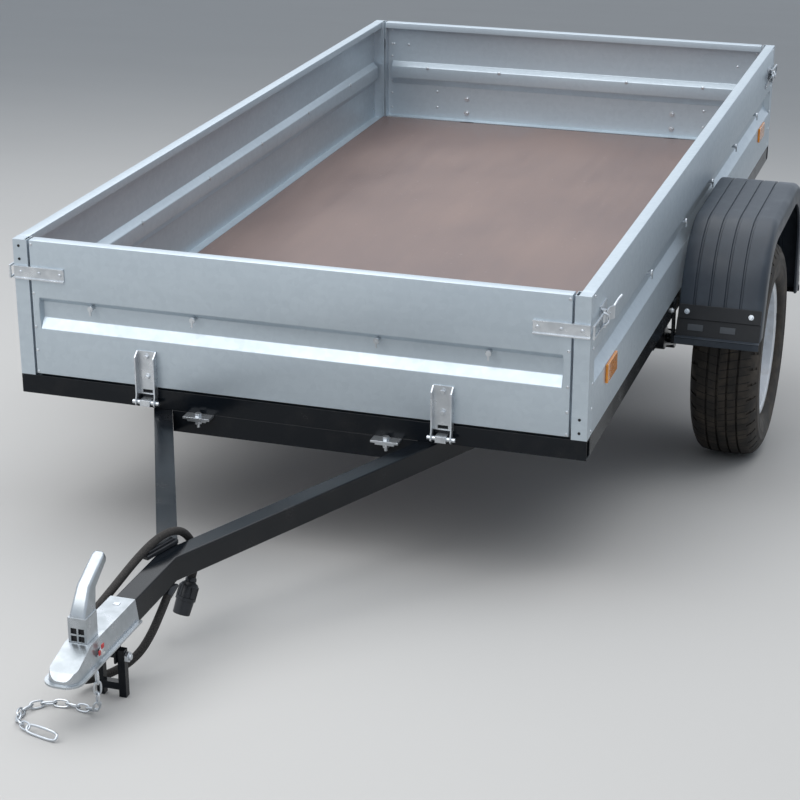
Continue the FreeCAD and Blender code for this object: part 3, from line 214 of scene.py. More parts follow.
class Nodes:
    """A node tree, emptied first, with one way to add a node to it."""

    def __init__(self, tree):
        self.tree = tree
        tree.nodes.clear()

    def feed(self, slot, value):
        """Links an output to an input, or sets the input's own value; None leaves it alone."""
        if isinstance(value, Socket):
            self.tree.links.new(value.output, slot)
        elif value is not None:
            slot.default_value = (*value, 1) if slot.type == "RGBA" else value

    def node(self, kind, settings=None, *values, out=0, **named):
        """Adds a node, sets it up, feeds its inputs and returns one of its outputs, if any."""
        node = self.tree.nodes.new(kind)
        for name, value in (settings or {}).items():
            setattr(node, name, value)
        for slot, value in zip(node.inputs, values):
            self.feed(slot, value)
        for name, value in named.items():
            self.feed(node.inputs[name.replace("_", " ")], value)
        return Socket(self, node.outputs[out]) if node.outputs else None


class Finish(Nodes):
    """One procedural material around a Principled shader."""

    def __init__(self, name, colour, roughness, metallic=0.0):
        self.material = bpy.data.materials.new(name)
        self.material.use_nodes = True
        self.material.diffuse_color = (*colour, 1)
        super().__init__(self.material.node_tree)
        surface = self.node("ShaderNodeBsdfPrincipled", Base_Color=colour, Roughness=roughness,
                            Metallic=metallic)
        self.shader = surface.output.node
        self.node("ShaderNodeOutputMaterial", {}, surface)

    def set(self, name, value):
        """Feeds one of the shader's inputs."""
        self.feed(self.shader.inputs[name], value)

    def tint(self, value, low, high, first, second):
        """Mixes Base Color from two colours as a value rises from low to high."""
        self.set("Base Color", self.mix(self.between(value, low, high), first, second))

    def gloss(self, value, low, high, start, end):
        """Takes Roughness from start to end as a value rises from low to high."""
        self.set("Roughness", self.between(value, low, high, start, end))

    def place(self, stretch=(1, 1, 1)):
        """Object coordinates on the level trailer, in metres, stretched by axis."""
        where = self.node("ShaderNodeTexCoord", out="Object")
        levelled = self.node("ShaderNodeMapping", {}, where, Rotation=Euler((-PITCH, 0, 0)))
        return self.node("ShaderNodeMapping", {}, levelled, Scale=stretch)

    def noise(self, scale, detail, stretch=(1, 1, 1)):
        """Noise laid out on the level trailer."""
        return self.node("ShaderNodeTexNoise", {}, self.place(stretch), Scale=scale,
                         Detail=detail)

    def between(self, value, low, high, start=0.0, end=1.0):
        """A value mapped to a range and held in it."""
        return self.node("ShaderNodeMapRange", {"clamp": True}, value, low, high, start, end)

    def axes(self, where):
        """The three parts of a place."""
        first = self.node("ShaderNodeSeparateXYZ", {}, where)
        return [Socket(self, output) for output in first.output.node.outputs]

    def mix(self, share, first, second):
        """Two colours mixed by a share; the inputs between are for numbers and vectors."""
        between = [None] * 5
        return self.node("ShaderNodeMix", {"data_type": "RGBA"}, share, *between, first, second,
                         out=2)

    def bump(self, height, strength, distance):
        """Raises the surface by a height; distance in metres."""
        self.set("Normal", self.node("ShaderNodeBump", {}, Strength=strength, Distance=distance,
                                     Height=height))


def zinc_sheet():
    """Galvanised sheet: faint spangle, rolling streaks and dull patches."""
    look = Finish("galvanised_sheet", (0.44, 0.49, 0.53), 0.42, 0.55)
    spangle = look.node("ShaderNodeTexVoronoi", {}, look.place(), out="Color", Scale=85.0)
    tone = look.node("ShaderNodeSeparateColor", {}, spangle)
    streaks = look.noise(5, 4, (1.0, 1.0, 12.0))
    patches = look.noise(2.3, 5)
    shade = tone * 0.12 + streaks * 0.22 + patches * 0.66
    look.tint(shade, 0.3, 0.72, (0.435, 0.500, 0.553), (0.525, 0.595, 0.648))
    look.gloss(shade + tone * 0.1, 0.2, 0.85, 0.46, 0.33)
    look.bump(look.noise(260, 2) * 0.4 + patches, 0.06, 0.0005)
    return look.material


def zinc_plating(name, dull, bright):
    """Zinc plating with slight smears."""
    look = Finish(name, bright, 0.3, 0.85)
    smear = look.noise(38, 4)
    look.tint(smear, 0.35, 0.7, dull, bright)
    look.gloss(smear, 0.3, 0.7, 0.34, 0.25)
    look.bump(look.noise(400, 2), 0.04, 0.0003)
    return look.material


def black_paint():
    """Satin black paint with road dust on it."""
    look = Finish("frame_black", (0.006, 0.008, 0.011), 0.25)
    dust = look.noise(14, 6)
    grains = look.noise(230, 3)
    share = look.between(dust * 0.8 + grains * 0.2, 0.5, 0.75, 0.0, 0.2)
    look.set("Base Color", look.mix(share, (0.005, 0.007, 0.010), (0.050, 0.046, 0.042)))
    look.gloss(share, 0.0, 0.2, 0.18, 0.34)
    look.set("Specular IOR Level", 0.2)
    look.bump(grains, 0.04, 0.0004)
    return look.material


def moulded_plastic(name, colour, pale, roughness):
    """Moulded plastic with a fine grain and paler scuffs."""
    look = Finish(name, colour, roughness)
    scuffs = look.noise(18, 5)
    look.tint(scuffs, 0.48, 0.75, colour, pale)
    look.gloss(scuffs, 0.3, 0.7, roughness - 0.06, roughness + 0.08)
    look.set("Specular IOR Level", 0.35)
    look.bump(look.noise(420, 2), 0.22, 0.0005)
    return look.material


def tread_rubber():
    """Black rubber, brown with dust, with fine slanting sipes round the tread, painted near-black
    as painted shade in the cuts.
    """
    look = Finish("tyre", (0.020, 0.018, 0.016), 0.78)
    # how far a sipe slants as it crosses, its share of a step, and the radius that it starts at
    slant = 11.0
    share = 0.13
    start = 0.277
    centre = at(0, WHEEL_ALONG, -WHEEL_DROP)
    where = look.node("ShaderNodeTexCoord", out="Object")
    across, along, up = look.axes(look.node("ShaderNodeMapping", {}, where, tuple(-centre)))
    reach = (along * along + up * up) ** 0.5
    lane = (across.maths("ABSOLUTE") - (WHEEL_OUT - 0.2 * TREAD_GROOVE) / 1000) * slant
    turns = up.maths("ARCTAN2", along) * (SIPES / math.tau)
    phase = (turns + lane.maths("ABSOLUTE") + 0.5 * (lane > 0)).maths("FRACT")
    sipe_shade_mask = (phase < share) * (reach > start)
    dust = look.noise(26, 5)
    worn = look.mix(look.between(dust, 0.42, 0.8), (0.019, 0.0165, 0.014), (0.075, 0.060, 0.046))
    # the sipes are painted near-black: painted shade in the narrow cuts; the same mask dents them
    # in the bump
    look.set("Base Color", look.mix(sipe_shade_mask, worn, (0.004, 0.0035, 0.003)))
    look.bump(look.noise(300, 3) * 0.12 - sipe_shade_mask, 0.6, 0.0012)
    return look.material


def floor_film():
    """Brown film on plywood, with a fine pressed mesh, dull patches and pale scratches."""
    look = Finish("floor_film", (0.19, 0.138, 0.127), 0.5)
    patches = look.noise(3.1, 6, (1.0, 0.6, 1.0))
    scratches = look.noise(5.5, 8, (9.0, 0.7, 1.0))
    share = look.between(patches * 0.75 + scratches * 0.25, 0.36, 0.66)
    colour = look.mix(share, (0.158, 0.112, 0.104), (0.222, 0.164, 0.150))
    specks = look.between(look.noise(75, 2), 0.70, 0.76)
    look.set("Base Color", look.mix(specks * 0.3, colour, (0.44, 0.38, 0.35)))
    look.gloss(share, 0.0, 1.0, 0.42, 0.60)
    weave = look.node("ShaderNodeTexBrick", {}, look.place(), out="Fac", Scale=120.0)
    look.bump(weave * 0.5 + patches * 0.5, 0.16, 0.0005)
    return look.material


def silver_paint():
    """Silver wheel paint with grey road dirt."""
    look = Finish("silver_rim", (0.74, 0.77, 0.81), 0.34, 0.35)
    dirt = look.noise(45, 6)
    look.tint(dirt, 0.5, 0.9, (0.70, 0.73, 0.77), (0.52, 0.52, 0.52))
    look.gloss(dirt, 0.4, 0.8, 0.3, 0.55)
    look.bump(look.noise(350, 2), 0.1, 0.0004)
    return look.material


def lens(name, deep, bright):
    """A moulded reflector or lamp lens with fine prisms under a clear face."""
    look = Finish(name, bright, 0.12)
    prisms = look.node("ShaderNodeTexVoronoi", {"distance": "MANHATTAN"}, look.place(),
                       Scale=190.0)
    look.tint(prisms, 0.2, 0.7, bright, deep)
    look.set("Coat Weight", 1.0)
    look.bump(prisms, 0.35, 0.0008)
    return look.material


def sleeve_fabric():
    """Fuzzy dark sleeve of the cable."""
    look = Finish("cable_sleeve", (0.022, 0.021, 0.021), 0.9)
    fuzz = look.noise(420, 4)
    look.tint(fuzz, 0.35, 0.75, (0.009, 0.008, 0.008), (0.050, 0.046, 0.043))
    look.bump(fuzz, 0.7, 0.0015)
    return look.material


PLASTICS = (
    # finish, its colour, the colour of its scuffs and its roughness
    ("black_plastic", (0.028, 0.037, 0.050), (0.044, 0.055, 0.070), 0.42),
    ("strip_black", (0.007, 0.008, 0.010), (0.014, 0.015, 0.017), 0.5),
    ("worn_plastic", (0.060, 0.068, 0.078), (0.085, 0.093, 0.103), 0.5),
    ("plug_black", (0.020, 0.022, 0.026), (0.034, 0.038, 0.045), 0.40),
    ("red_indicator", (0.50, 0.015, 0.02), (0.62, 0.05, 0.05), 0.35),
    ("pale_plastic", (0.62, 0.63, 0.62), (0.80, 0.80, 0.79), 0.4),
    # painted shade: near-black for open holes, vents and the dark behind slots; also the balance
    # weight's own dark colour
    ("dark_gap", (0.010, 0.010, 0.011), (0.016, 0.016, 0.017), 0.7),
)
PLATINGS = (
    # finish, where it is dull and where it is bright
    ("zinc_plated", (0.52, 0.55, 0.58), (0.66, 0.69, 0.72)),
    ("zinc_pressed", (0.36, 0.39, 0.41), (0.46, 0.49, 0.52)),
)
LENSES = (
    # finish, deep in its prisms and on their faces
    ("amber_reflector", (0.95, 0.30, 0.008), (1.0, 0.45, 0.03)),
    ("lamp_red", (0.22, 0.004, 0.004), (0.60, 0.014, 0.012)),
    ("lamp_amber", (0.45, 0.12, 0.004), (0.85, 0.30, 0.02)),
    ("lamp_clear", (0.40, 0.41, 0.42), (0.78, 0.79, 0.80)),
)


def make_finishes():
    """Every finish of the trailer, by its name."""
    finishes = {
        "galvanised_sheet": zinc_sheet(),
        "frame_black": black_paint(),
        "tyre": tread_rubber(),
        "floor_film": floor_film(),
        "silver_rim": silver_paint(),
        "cable_sleeve": sleeve_fabric(),
    }
    for recipe, rows in ((moulded_plastic, PLASTICS), (zinc_plating, PLATINGS), (lens, LENSES)):
        for name, *values in rows:
            finishes[name] = recipe(name, *values)
    return finishes


FINISHES = {}


# Meshes

def edges_marked(shell, degrees):
    """Smooth shading with sharp edges where faces meet at more than this angle."""
    limit = math.radians(degrees)
    for face in shell.faces:
        face.smooth = True
    for edge in shell.edges:
        edge.smooth = len(edge.link_faces) == 2 and edge.calc_face_angle(0) < limit


def placed(name, data, finish, body):
    """An object around finished data, riding on a body."""
    piece = bpy.data.objects.new(name, data)
    bpy.context.scene.collection.objects.link(piece)
    data.materials.append(FINISHES[finish])
    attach(piece, body)
    return piece


def made(name, shell, finish, body="chassis", where=IN_MILLIMETRES, sharp=32):
    """Turns a bmesh into a finished piece."""
    bmesh.ops.transform(shell, matrix=where, verts=shell.verts)
    edges_marked(shell, sharp)
    mesh = bpy.data.meshes.new(name)
    shell.to_mesh(mesh)
    shell.free()
    return placed(name, mesh, finish, body)


def rounded(piece, width, segments=2):
    """Rounds a piece's edges with a live bevel; width in millimetres."""
    bevel = piece.modifiers.new("folds", "BEVEL")
    bevel.width = width / 1000
    bevel.segments = segments
    bevel.limit_method = "ANGLE"
    bevel.angle_limit = math.radians(35)
    bevel.harden_normals = True
    return piece


def merged(node):
    """A copy of a CAD node's mesh with its loose triangles joined."""
    shell = bmesh.new()
    shell.from_mesh(frame["nodes"][node].data)
    bmesh.ops.remove_doubles(shell, verts=shell.verts, dist=0.00002)
    return shell


def flattened(shell):
    """Joins the triangles of flat faces."""
    bmesh.ops.dissolve_limit(shell, angle_limit=math.radians(0.8), verts=shell.verts,
                             edges=shell.edges)
    return shell


def dressed(node, finish, width, segments=2, sharp=32):
    """A CAD node's own shape with rounded edges, in its place."""
    body = frame["nodes"][node]["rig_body"]
    piece = made(node + "_rounded", flattened(merged(node)), finish, body, Matrix(), sharp)
    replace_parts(piece, node)
    return rounded(piece, width, segments)


def painted(node, finish):
    """Gives a CAD node itself a finish."""
    data = frame["nodes"][node].data
    data.materials.clear()
    data.materials.append(FINISHES[finish])


def bar(shell, corner, size, turn=Matrix()):
    """A box from its low corner, turned about the drawing's origin."""
    stand = Matrix.Translation(Vector(corner) + Vector(size) / 2)
    bmesh.ops.create_cube(shell, size=1.0, matrix=turn @ stand @ Matrix.Diagonal((*size, 1)))


def disc(shell, place, way, radius, height, sides=12, top=None):
    """A round or many-sided stud standing on a place, along a direction."""
    turn = Vector(way).to_track_quat("Z", "Y").to_matrix().to_4x4()
    middle = Matrix.Translation(Vector(place) + Vector(way).normalized() * height / 2)
    bmesh.ops.create_cone(shell, cap_ends=True, segments=sides, radius1=radius,
                          radius2=radius if top is None else top, depth=height,
                          matrix=middle @ turn)


def stack(shell, place, way, *discs):
    """Discs that stand on one another; each gives its radius, height, sides and top radius."""
    foot = Vector(place)
    for radius, height, *rest in discs:
        disc(shell, foot, way, radius, height, *rest)
        foot += Vector(way).normalized() * height


def bars(*boxes, turn=Matrix()):
    """A drawing made of boxes; each gives its low corner and its size."""
    shell = bmesh.new()
    for corner, size in boxes:
        bar(shell, corner, size, turn)
    return shell


def rivet(shell, place, way, radius):
    """A domed rivet head."""
    stack(shell, place, way, (radius, radius * 0.22, 12, radius * 0.95),
          (radius * 0.95, radius * 0.22, 12, radius * 0.55))


def hex_bolt(shell, place, way, radius, height, washer):
    """A hexagon head on its washer."""
    stack(shell, place, way, (washer, 1.5, 20), (radius, height * 0.8, 6),
          (radius * 0.98, height * 0.2, 6, radius * 0.8))


def only(kind, items):
    """The verts or the edges among what an operator returned."""
    return [item for item in items if isinstance(item, kind)]


def drawn(shell, edges, step):
    """Extrudes edges by a step and returns the far ones."""
    geom = bmesh.ops.extrude_edge_only(shell, edges=edges)["geom"]
    fresh = only(bmesh.types.BMVert, geom)
    bmesh.ops.translate(shell, vec=step, verts=fresh)
    return [edge for edge in only(bmesh.types.BMEdge, geom)
            if all(vert in fresh for vert in edge.verts)]


def cut(shell, place, way, geom=None, beyond=False):
    """Cuts faces along a plane, and takes away what lies beyond it where asked."""
    bmesh.ops.bisect_plane(shell, geom=geom or shell.verts[:] + shell.edges[:] + shell.faces[:],
                           plane_co=place, plane_no=way, clear_outer=beyond)


def holes_filled(shell):
    """Closes every open end."""
    bmesh.ops.holes_fill(shell, edges=[edge for edge in shell.edges if edge.is_boundary], sides=0)


def lathed(section, axis, steps=48, closed=False):
    """A section turned about an axis; an open one gets its ends closed."""
    shell = bmesh.new()
    knots = [shell.verts.new(place) for place in section]
    following = knots[1:] + knots[:1] if closed else knots[1:]
    edges = [shell.edges.new(pair) for pair in zip(knots, following)]
    bmesh.ops.spin(shell, geom=knots + edges, cent=(0, 0, 0), axis=axis, angle=math.tau,
                   steps=steps, use_merge=True)
    bmesh.ops.remove_doubles(shell, verts=shell.verts, dist=0.001)
    if not closed:
        holes_filled(shell)
    bmesh.ops.recalc_face_normals(shell, faces=shell.faces)
    return shell


def wire(name, points, radius, finish):
    """Bent wire or a cord as one smooth curve; points and radius in millimetres."""
    curve = bpy.data.curves.new(name, "CURVE")
    curve.dimensions = "3D"
    curve.bevel_depth = 1.0
    curve.bevel_resolution = 3
    curve.use_fill_caps = True
    spline = curve.splines.new("NURBS")
    spline.points.add(len(points) - 1)
    for knot, place in zip(spline.points, points):
        knot.co = (*at(*place), 1)
        knot.radius = radius / 1000
    spline.order_u = 3
    spline.use_endpoint_u = True
    spline.resolution_u = 8
    return placed(name, curve, finish, "chassis")


# Folded boards

def board_shell(length, bottom):
    """A folded board, drawn along X with its outside at Y 0 and its folds inward."""
    shell = bmesh.new()
    height = BOARD_HEIGHT - bottom
    stand = Matrix.Translation((0, 0, bottom + height / 2))
    size = Matrix.Diagonal((length, 1, height, 1))
    bmesh.ops.create_grid(shell, x_segments=1, y_segments=1, size=0.5,
                          matrix=stand @ size @ turned(90, "X"))
    run = length / 2 - RIB_STOP
    low = RIB_BOTTOM + RIB_SLOPE
    high = RIB_TOP - RIB_RISE
    cuts = [((0, 0, up), (0, 0, 1)) for up in (RIB_BOTTOM, low, high, RIB_TOP)]
    cuts += [((side * reach, 0, 0), (1, 0, 0)) for side in (-1, 1)
             for reach in (run, run - RIB_END_SLOPE)]
    for place, way in cuts:
        cut(shell, place, way)
    pressed = [vert for vert in shell.verts if abs(vert.co.x) < run - RIB_END_SLOPE + 0.5
               and low - 0.5 < vert.co.z < high + 0.5]
    bmesh.ops.translate(shell, vec=(0, RIB_DEPTH, 0), verts=pressed)
    drawn(shell, [edge for edge in shell.edges if edge.is_boundary], (0, BOARD_DEPTH, 0))
    lip = [edge for edge in shell.edges if edge.is_boundary
           and all(vert.co.z > BOARD_HEIGHT - 1 and vert.co.y > 1 for vert in edge.verts)]
    drawn(shell, lip, (0, 0, -RIM_LIP))
    bmesh.ops.recalc_face_normals(shell, faces=shell.faces)
    outside = [face for face in shell.faces if abs(face.calc_center_median().y) < 1]
    if sum(face.normal.y * face.calc_area() for face in outside) > 0:
        bmesh.ops.reverse_faces(shell, faces=shell.faces)
    creases = [edge for edge in shell.edges if len(edge.link_faces) == 2
               and edge.calc_face_angle(0) > math.radians(12)]
    bmesh.ops.bevel(shell, geom=creases, affect="EDGES", offset=FOLD_RADIUS, segments=3,
                    profile=0.5, material=-1, clamp_overlap=True)
    bmesh.ops.solidify(shell, geom=shell.faces[:], thickness=SHEET)
    return shell


# Hook studs along the front and right boards, seen from outside
FRONT_STUDS = (-466, -226, 190, 433)
RIGHT_STUDS = (-630, -201, 179, 559, 939)


def opposite(places):
    """Places along a board, as the board across from it has them."""
    return [-place for place in reversed(places)]


def standing(across, along, degrees):
    """Where a board stands on the trailer, and which way it is turned."""
    return Matrix.Translation((across, along, 0)) @ turned(degrees, "Z")


END_BOARD = BODY_WIDTH - 2 * POST_WIDTH - 2 * BOARD_GAP
SIDE_BOARD = BODY_LENGTH - 2 * POST_DEPTH
BOARDS = (
    # node, length, bottom, where it stands, body, hook studs
    ("front_board", END_BOARD, BOARD_GAP, standing(0, 0, 0), "front_board", FRONT_STUDS),
    ("tailgate", END_BOARD, BOARD_GAP, standing(0, BODY_LENGTH, 180), "tailgate",
     opposite(FRONT_STUDS)),
    ("side_board_right", SIDE_BOARD, 0, standing(BODY_WIDTH / 2, BODY_LENGTH / 2, 90),
     "chassis", RIGHT_STUDS),
    ("side_board_left", SIDE_BOARD, 0, standing(-BODY_WIDTH / 2, BODY_LENGTH / 2, -90),
     "chassis", opposite(RIGHT_STUDS)),
)


def board_fittings(length, studs, opens):
    """Rivets in the end folds, hook studs under the rib's upper flank, bolt ends inside."""
    shell = bmesh.new()
    outward = (0, -1, 0)
    inward = (0, 1, 0)
    for side in (-1, 1):
        for up in END_RIVETS:
            rivet(shell, (side * (length / 2 - 4.5), 0, up), outward, 3.6)
        for up in INNER_RIVETS:
            rivet(shell, (side * (length / 2 - 14), SHEET, up), inward, 3.6)
    low = RIB_TOP - RIB_RISE - 1
    for along in studs:
        disc(shell, (along, RIB_DEPTH + 1, low), outward, 4.6, RIB_DEPTH + 2, 14)
        disc(shell, (along, -1, low), outward, 7.4, 2.5, 14, 6.4)
        bar(shell, (along - 2, -4.5, low - 15), (4, 3, 15))
        rivet(shell, (along, RIB_DEPTH + SHEET, low), inward, 5.5)
    if opens:
        for side in (-1, 1):
            for across in STRAP_RIVETS[:2]:
                rivet(shell, (side * across, SHEET, LATCH_UP), inward, 4)
            for up in HINGE_BOLTS:
                hex_bolt(shell, (side * HINGE_ACROSS, SHEET, up), inward, 6, 5, 9)
            for up in (92, 40):
                rivet(shell, (side * (HINGE_ACROSS + 100), SHEET, up), inward, 4)
    return shell


def make_board(node, length, bottom, stand, body, studs):
    """One folded board, and the rivets, studs and bolt ends on it."""
    place = IN_MILLIMETRES @ stand
    piece = made(node + "_folded", board_shell(length, bottom), "galvanised_sheet", body,
                 where=place, sharp=20)
    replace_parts(piece, node)
    made(node + "_rivets", board_fittings(length, studs, body != "chassis"), "zinc_plated", body,
         where=place)


def post_holes_painted_shade():
    """Painted shade for open bolt holes in the faces of the two front corner posts: near-black
    discs where the holes are.
    """
    shell = bmesh.new()
    for across, up in ((628, 46), (628, 16), (-631, 299), (-631, 269)):
        # near-black discs on the posts' faces: painted shade inside the holes
        disc(shell, (across, 0.2, up), (0, -1, 0), 3.2, 0.8, 16)
    made("post_holes_painted_shade", shell, "dark_gap")


# Wheels

def wheel_piece(name, shell, finish, hand, sharp=32):
    """A finished piece of one wheel, drawn about the wheel's centre."""
    centre = Matrix.Translation((hand * WHEEL_OUT, WHEEL_ALONG, -WHEEL_DROP))
    side = side_name(hand)
    return made(name % side, shell, finish, "wheel_" + side, IN_MILLIMETRES @ centre, sharp)


def on_wheel(out, radius, degrees=0):
    """A place on a wheel: how far out, its radius and its angle."""
    angle = math.radians(degrees)
    return Vector((out, radius * math.cos(angle), radius * math.sin(angle)))


def tyre_profile():
    """Across and radius: the tread with four grooves, then each side, outside and inside."""
    flank = 88.3
    tread = [(-TREAD_HALF, TREAD_EDGE)]
    for groove in (-TREAD_GROOVE, -TREAD_GROOVE / 3, TREAD_GROOVE / 3, TREAD_GROOVE):
        crown = TREAD_RADIUS - abs(groove) * 0.035
        tread += [(groove - 2.8, crown), (groove - 2, crown - 7), (groove + 2, crown - 7),
                  (groove + 2.8, crown)]
    tread.append((TREAD_HALF, TREAD_EDGE))
    side = [(75, 271), (83, 256), (85.8, 246), (86.8, 245), (87.4, 240), (86.6, 238.5),
            (flank, 224), (flank, 221), (87.3, 219.5), (86.6, 208), (82, 194), (76.5, 186),
            (70.8, 183.2), (70.8, 179), (66, 171), (64, 166)]
    inner = [(53, 166), (60, 190), (76, 224), (70, 256), (50, 274)]
    right = side + inner
    return tread + right + [(-across, radius) for across, radius in reversed(right)]


def make_tyre(hand):
    """Tyre with four grooves and with notches in its shoulders."""
    steps = 3 * SIPES
    shell = lathed([on_wheel(*knot) for knot in tyre_profile()], (1, 0, 0), steps, closed=True)
    notched = []
    for face in shell.faces:
        middle = face.calc_center_median()
        number = int((math.atan2(middle.z, middle.y) % math.tau) / (math.tau / steps))
        shoulder = TREAD_HALF < abs(middle.x) < 82 and math.hypot(middle.y, middle.z) > 262
        if shoulder and number % 6 == 0:
            notched.append(face)
    for face in bmesh.ops.extrude_discrete_faces(shell, faces=notched)["faces"]:
        middle = face.calc_center_median()
        inward = Vector((-0.4 * middle.x, -middle.y, -middle.z)).normalized() * 4
        bmesh.ops.translate(shell, vec=inward, verts=face.verts)
    piece = wheel_piece("tyre_%s_tread", shell, "tyre", hand, sharp=40)
    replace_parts(piece, "tyre_" + side_name(hand))


def make_rim(hand):
    """Pressed rim with rolled flanges and its disc."""
    section = ((-70, 180), (-69, 182), (-66.5, 182), (-65.3, 180), (-65, 167), (-60, 165.2),
               (-38, 164.5), (-30, 141), (4, 141), (14, 163), (62, 165), (65, 167), (65.3, 180),
               (66.5, 182), (69, 182), (70, 180), (70, 168), (66, 161), (19, 159), (13, 139),
               (22, 120), (28.6, 84), (29, 70), (29, 31), (24.3, 31), (24.3, 70), (23.6, 82),
               (16, 116), (6, 136), (-33, 136), (-42, 160), (-66, 161), (-70, 168))
    shell = lathed([on_wheel(hand * across, radius) for across, radius in section], (1, 0, 0),
                   96, closed=True)
    piece = wheel_piece("rim_%s_pressed", shell, "silver_rim", hand, sharp=40)
    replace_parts(piece, "rim_" + side_name(hand))


def make_wheel_trim(hand):
    """Wheel bolts, painted shade for the vents in the disc, the balance weight, the valve and the
    hub's cap.
    """
    bolts = bmesh.new()
    for number in range(4):
        stack(bolts, on_wheel(hand * 29.2, BOLT_CIRCLE, 45 + 90 * number), (hand, 0, 0),
              (10.5, 4, 20, 9), (8.7, 12, 6, 8.4), (8.4, 2, 12, 4))
    rounded(wheel_piece("wheel_bolts_%s", bolts, "zinc_plated", hand), 0.6)
    # the vents are near-black discs on the disc's face: painted shade where the holes are
    vents = bmesh.new()
    for number in range(12):
        disc(vents, on_wheel(hand * 24.6, VENT_CIRCLE, 30 * number),
             on_wheel(hand, 0.18, 30 * number), 8.5, 0.5, 24)
    wheel_piece("rim_vents_%s", vents, "dark_gap", hand)
    weight = bars(((hand * 67.5 - 3, -11, 172), (6, 22, 11)), turn=turned(-80, "X"))
    rounded(wheel_piece("rim_weight_%s", weight, "dark_gap", hand), 1.2)
    valve = bmesh.new()
    way = on_wheel(hand * 0.9, -0.4, 60)
    spot = on_wheel(hand * 17, 150, 60)
    disc(valve, spot, way, 5.5, 14, 14, 4.2)
    disc(valve, spot + way * 13, way, 4, 16, 12, 3.6)
    wheel_piece("valve_%s", valve, "plug_black", hand)
    section = ((19.7, 1), (19.7, 27.8), (46, 27.2), (51.5, 24), (54.4, 16), (55, 1))
    cap = lathed([on_wheel(hand * across, radius) for across, radius in section], (1, 0, 0))
    wheel_piece("hub_cap_%s", cap, "zinc_plated", hand)
    painted("hub_" + side_name(hand), "frame_black")


# Mudguards

def fender_section(hand):
    """Across and down from the crown: inner edge, four grooves, rounded shoulder, side lip."""
    points = [(0, 9), (0.8, 4), (3.2, 1), (8, 0)]
    for groove in (38, 76, 114, 152):
        points += [(groove - 3.6, 0), (groove - 1.8, 3.4), (groove + 1.8, 3.4), (groove + 3.6, 0)]
    width = FENDER_WIDTH
    points += [(width - 17, 0), (width - 9, 2.2), (width - 3, 7.5), (width - 0.4, 15),
               (width, 22), (width, FENDER_SKIRT - 4), (width - 2, FENDER_SKIRT),
               (width - 7, FENDER_SKIRT)]
    return [(hand * (FENDER_IN + across), -down) for across, down in points]


def fender_side(end):
    """Slope in radians, corner from the wheel's centre and the bend's reach at one end."""
    _, reach, drop, slope = end
    slope = math.radians(slope)
    return slope, reach - drop / math.tan(slope), FENDER_BEND * math.tan(slope / 2)


def bent(shell, edges, centre, angle):
    """Turns edges about a line across the trailer and returns the last ones."""
    verts = list({vert for edge in edges for vert in edge.verts})
    last = bmesh.ops.spin(shell, geom=verts + list(edges), cent=centre, axis=(1, 0, 0),
                          angle=angle, steps=14, use_duplicate=False)["geom_last"]
    return only(bmesh.types.BMEdge, last)


def fender_shell(hand):
    """The section drawn up the front slope, round both bends and down behind."""
    front, rear = FENDER_ENDS
    slope, corner, reach = fender_side(front)
    rear_slope, rear_corner, rear_reach = fender_side(rear)
    # both slopes start and end too long, and are cut level below
    spare = 70
    shell = bmesh.new()
    knots = [shell.verts.new((across, 0, down)) for across, down in fender_section(hand)]
    edges = [shell.edges.new(pair) for pair in zip(knots, knots[1:])]
    foot = Vector((0, -(front[1] + spare * math.cos(slope)),
                   -(front[2] + spare * math.sin(slope))))
    bmesh.ops.transform(shell, matrix=Matrix.Translation(foot) @ turned(front[3], "X"),
                        verts=knots)
    rise = Vector((0, math.cos(slope), math.sin(slope)))
    edges = drawn(shell, edges, rise * (front[2] / math.sin(slope) + spare - reach))
    edges = bent(shell, edges, (0, reach - corner, -FENDER_BEND), -slope)
    edges = drawn(shell, edges, Vector((0, corner - reach + rear_corner - rear_reach, 0)))
    edges = bent(shell, edges, (0, rear_corner - rear_reach, -FENDER_BEND), -rear_slope)
    fall = Vector((0, math.cos(rear_slope), -math.sin(rear_slope)))
    drawn(shell, edges, fall * (rear[2] / math.sin(rear_slope) + spare - rear_reach))
    bmesh.ops.remove_doubles(shell, verts=shell.verts, dist=0.001)
    for end, _, drop, _ in FENDER_ENDS:
        half = [face for face in shell.faces if face.calc_center_median().y * end > 0]
        geom = half + list({edge for face in half for edge in face.edges})
        geom += list({vert for face in half for vert in face.verts})
        cut(shell, (0, 0, -drop), (0, 0, -1), geom, beyond=True)
    bmesh.ops.recalc_face_normals(shell, faces=shell.faces)
    top = max(shell.faces, key=lambda face: face.calc_center_median().z)
    if top.normal.z < 0:
        bmesh.ops.reverse_faces(shell, faces=shell.faces)
    bmesh.ops.solidify(shell, geom=shell.faces[:], thickness=FENDER_WALL)
    return shell


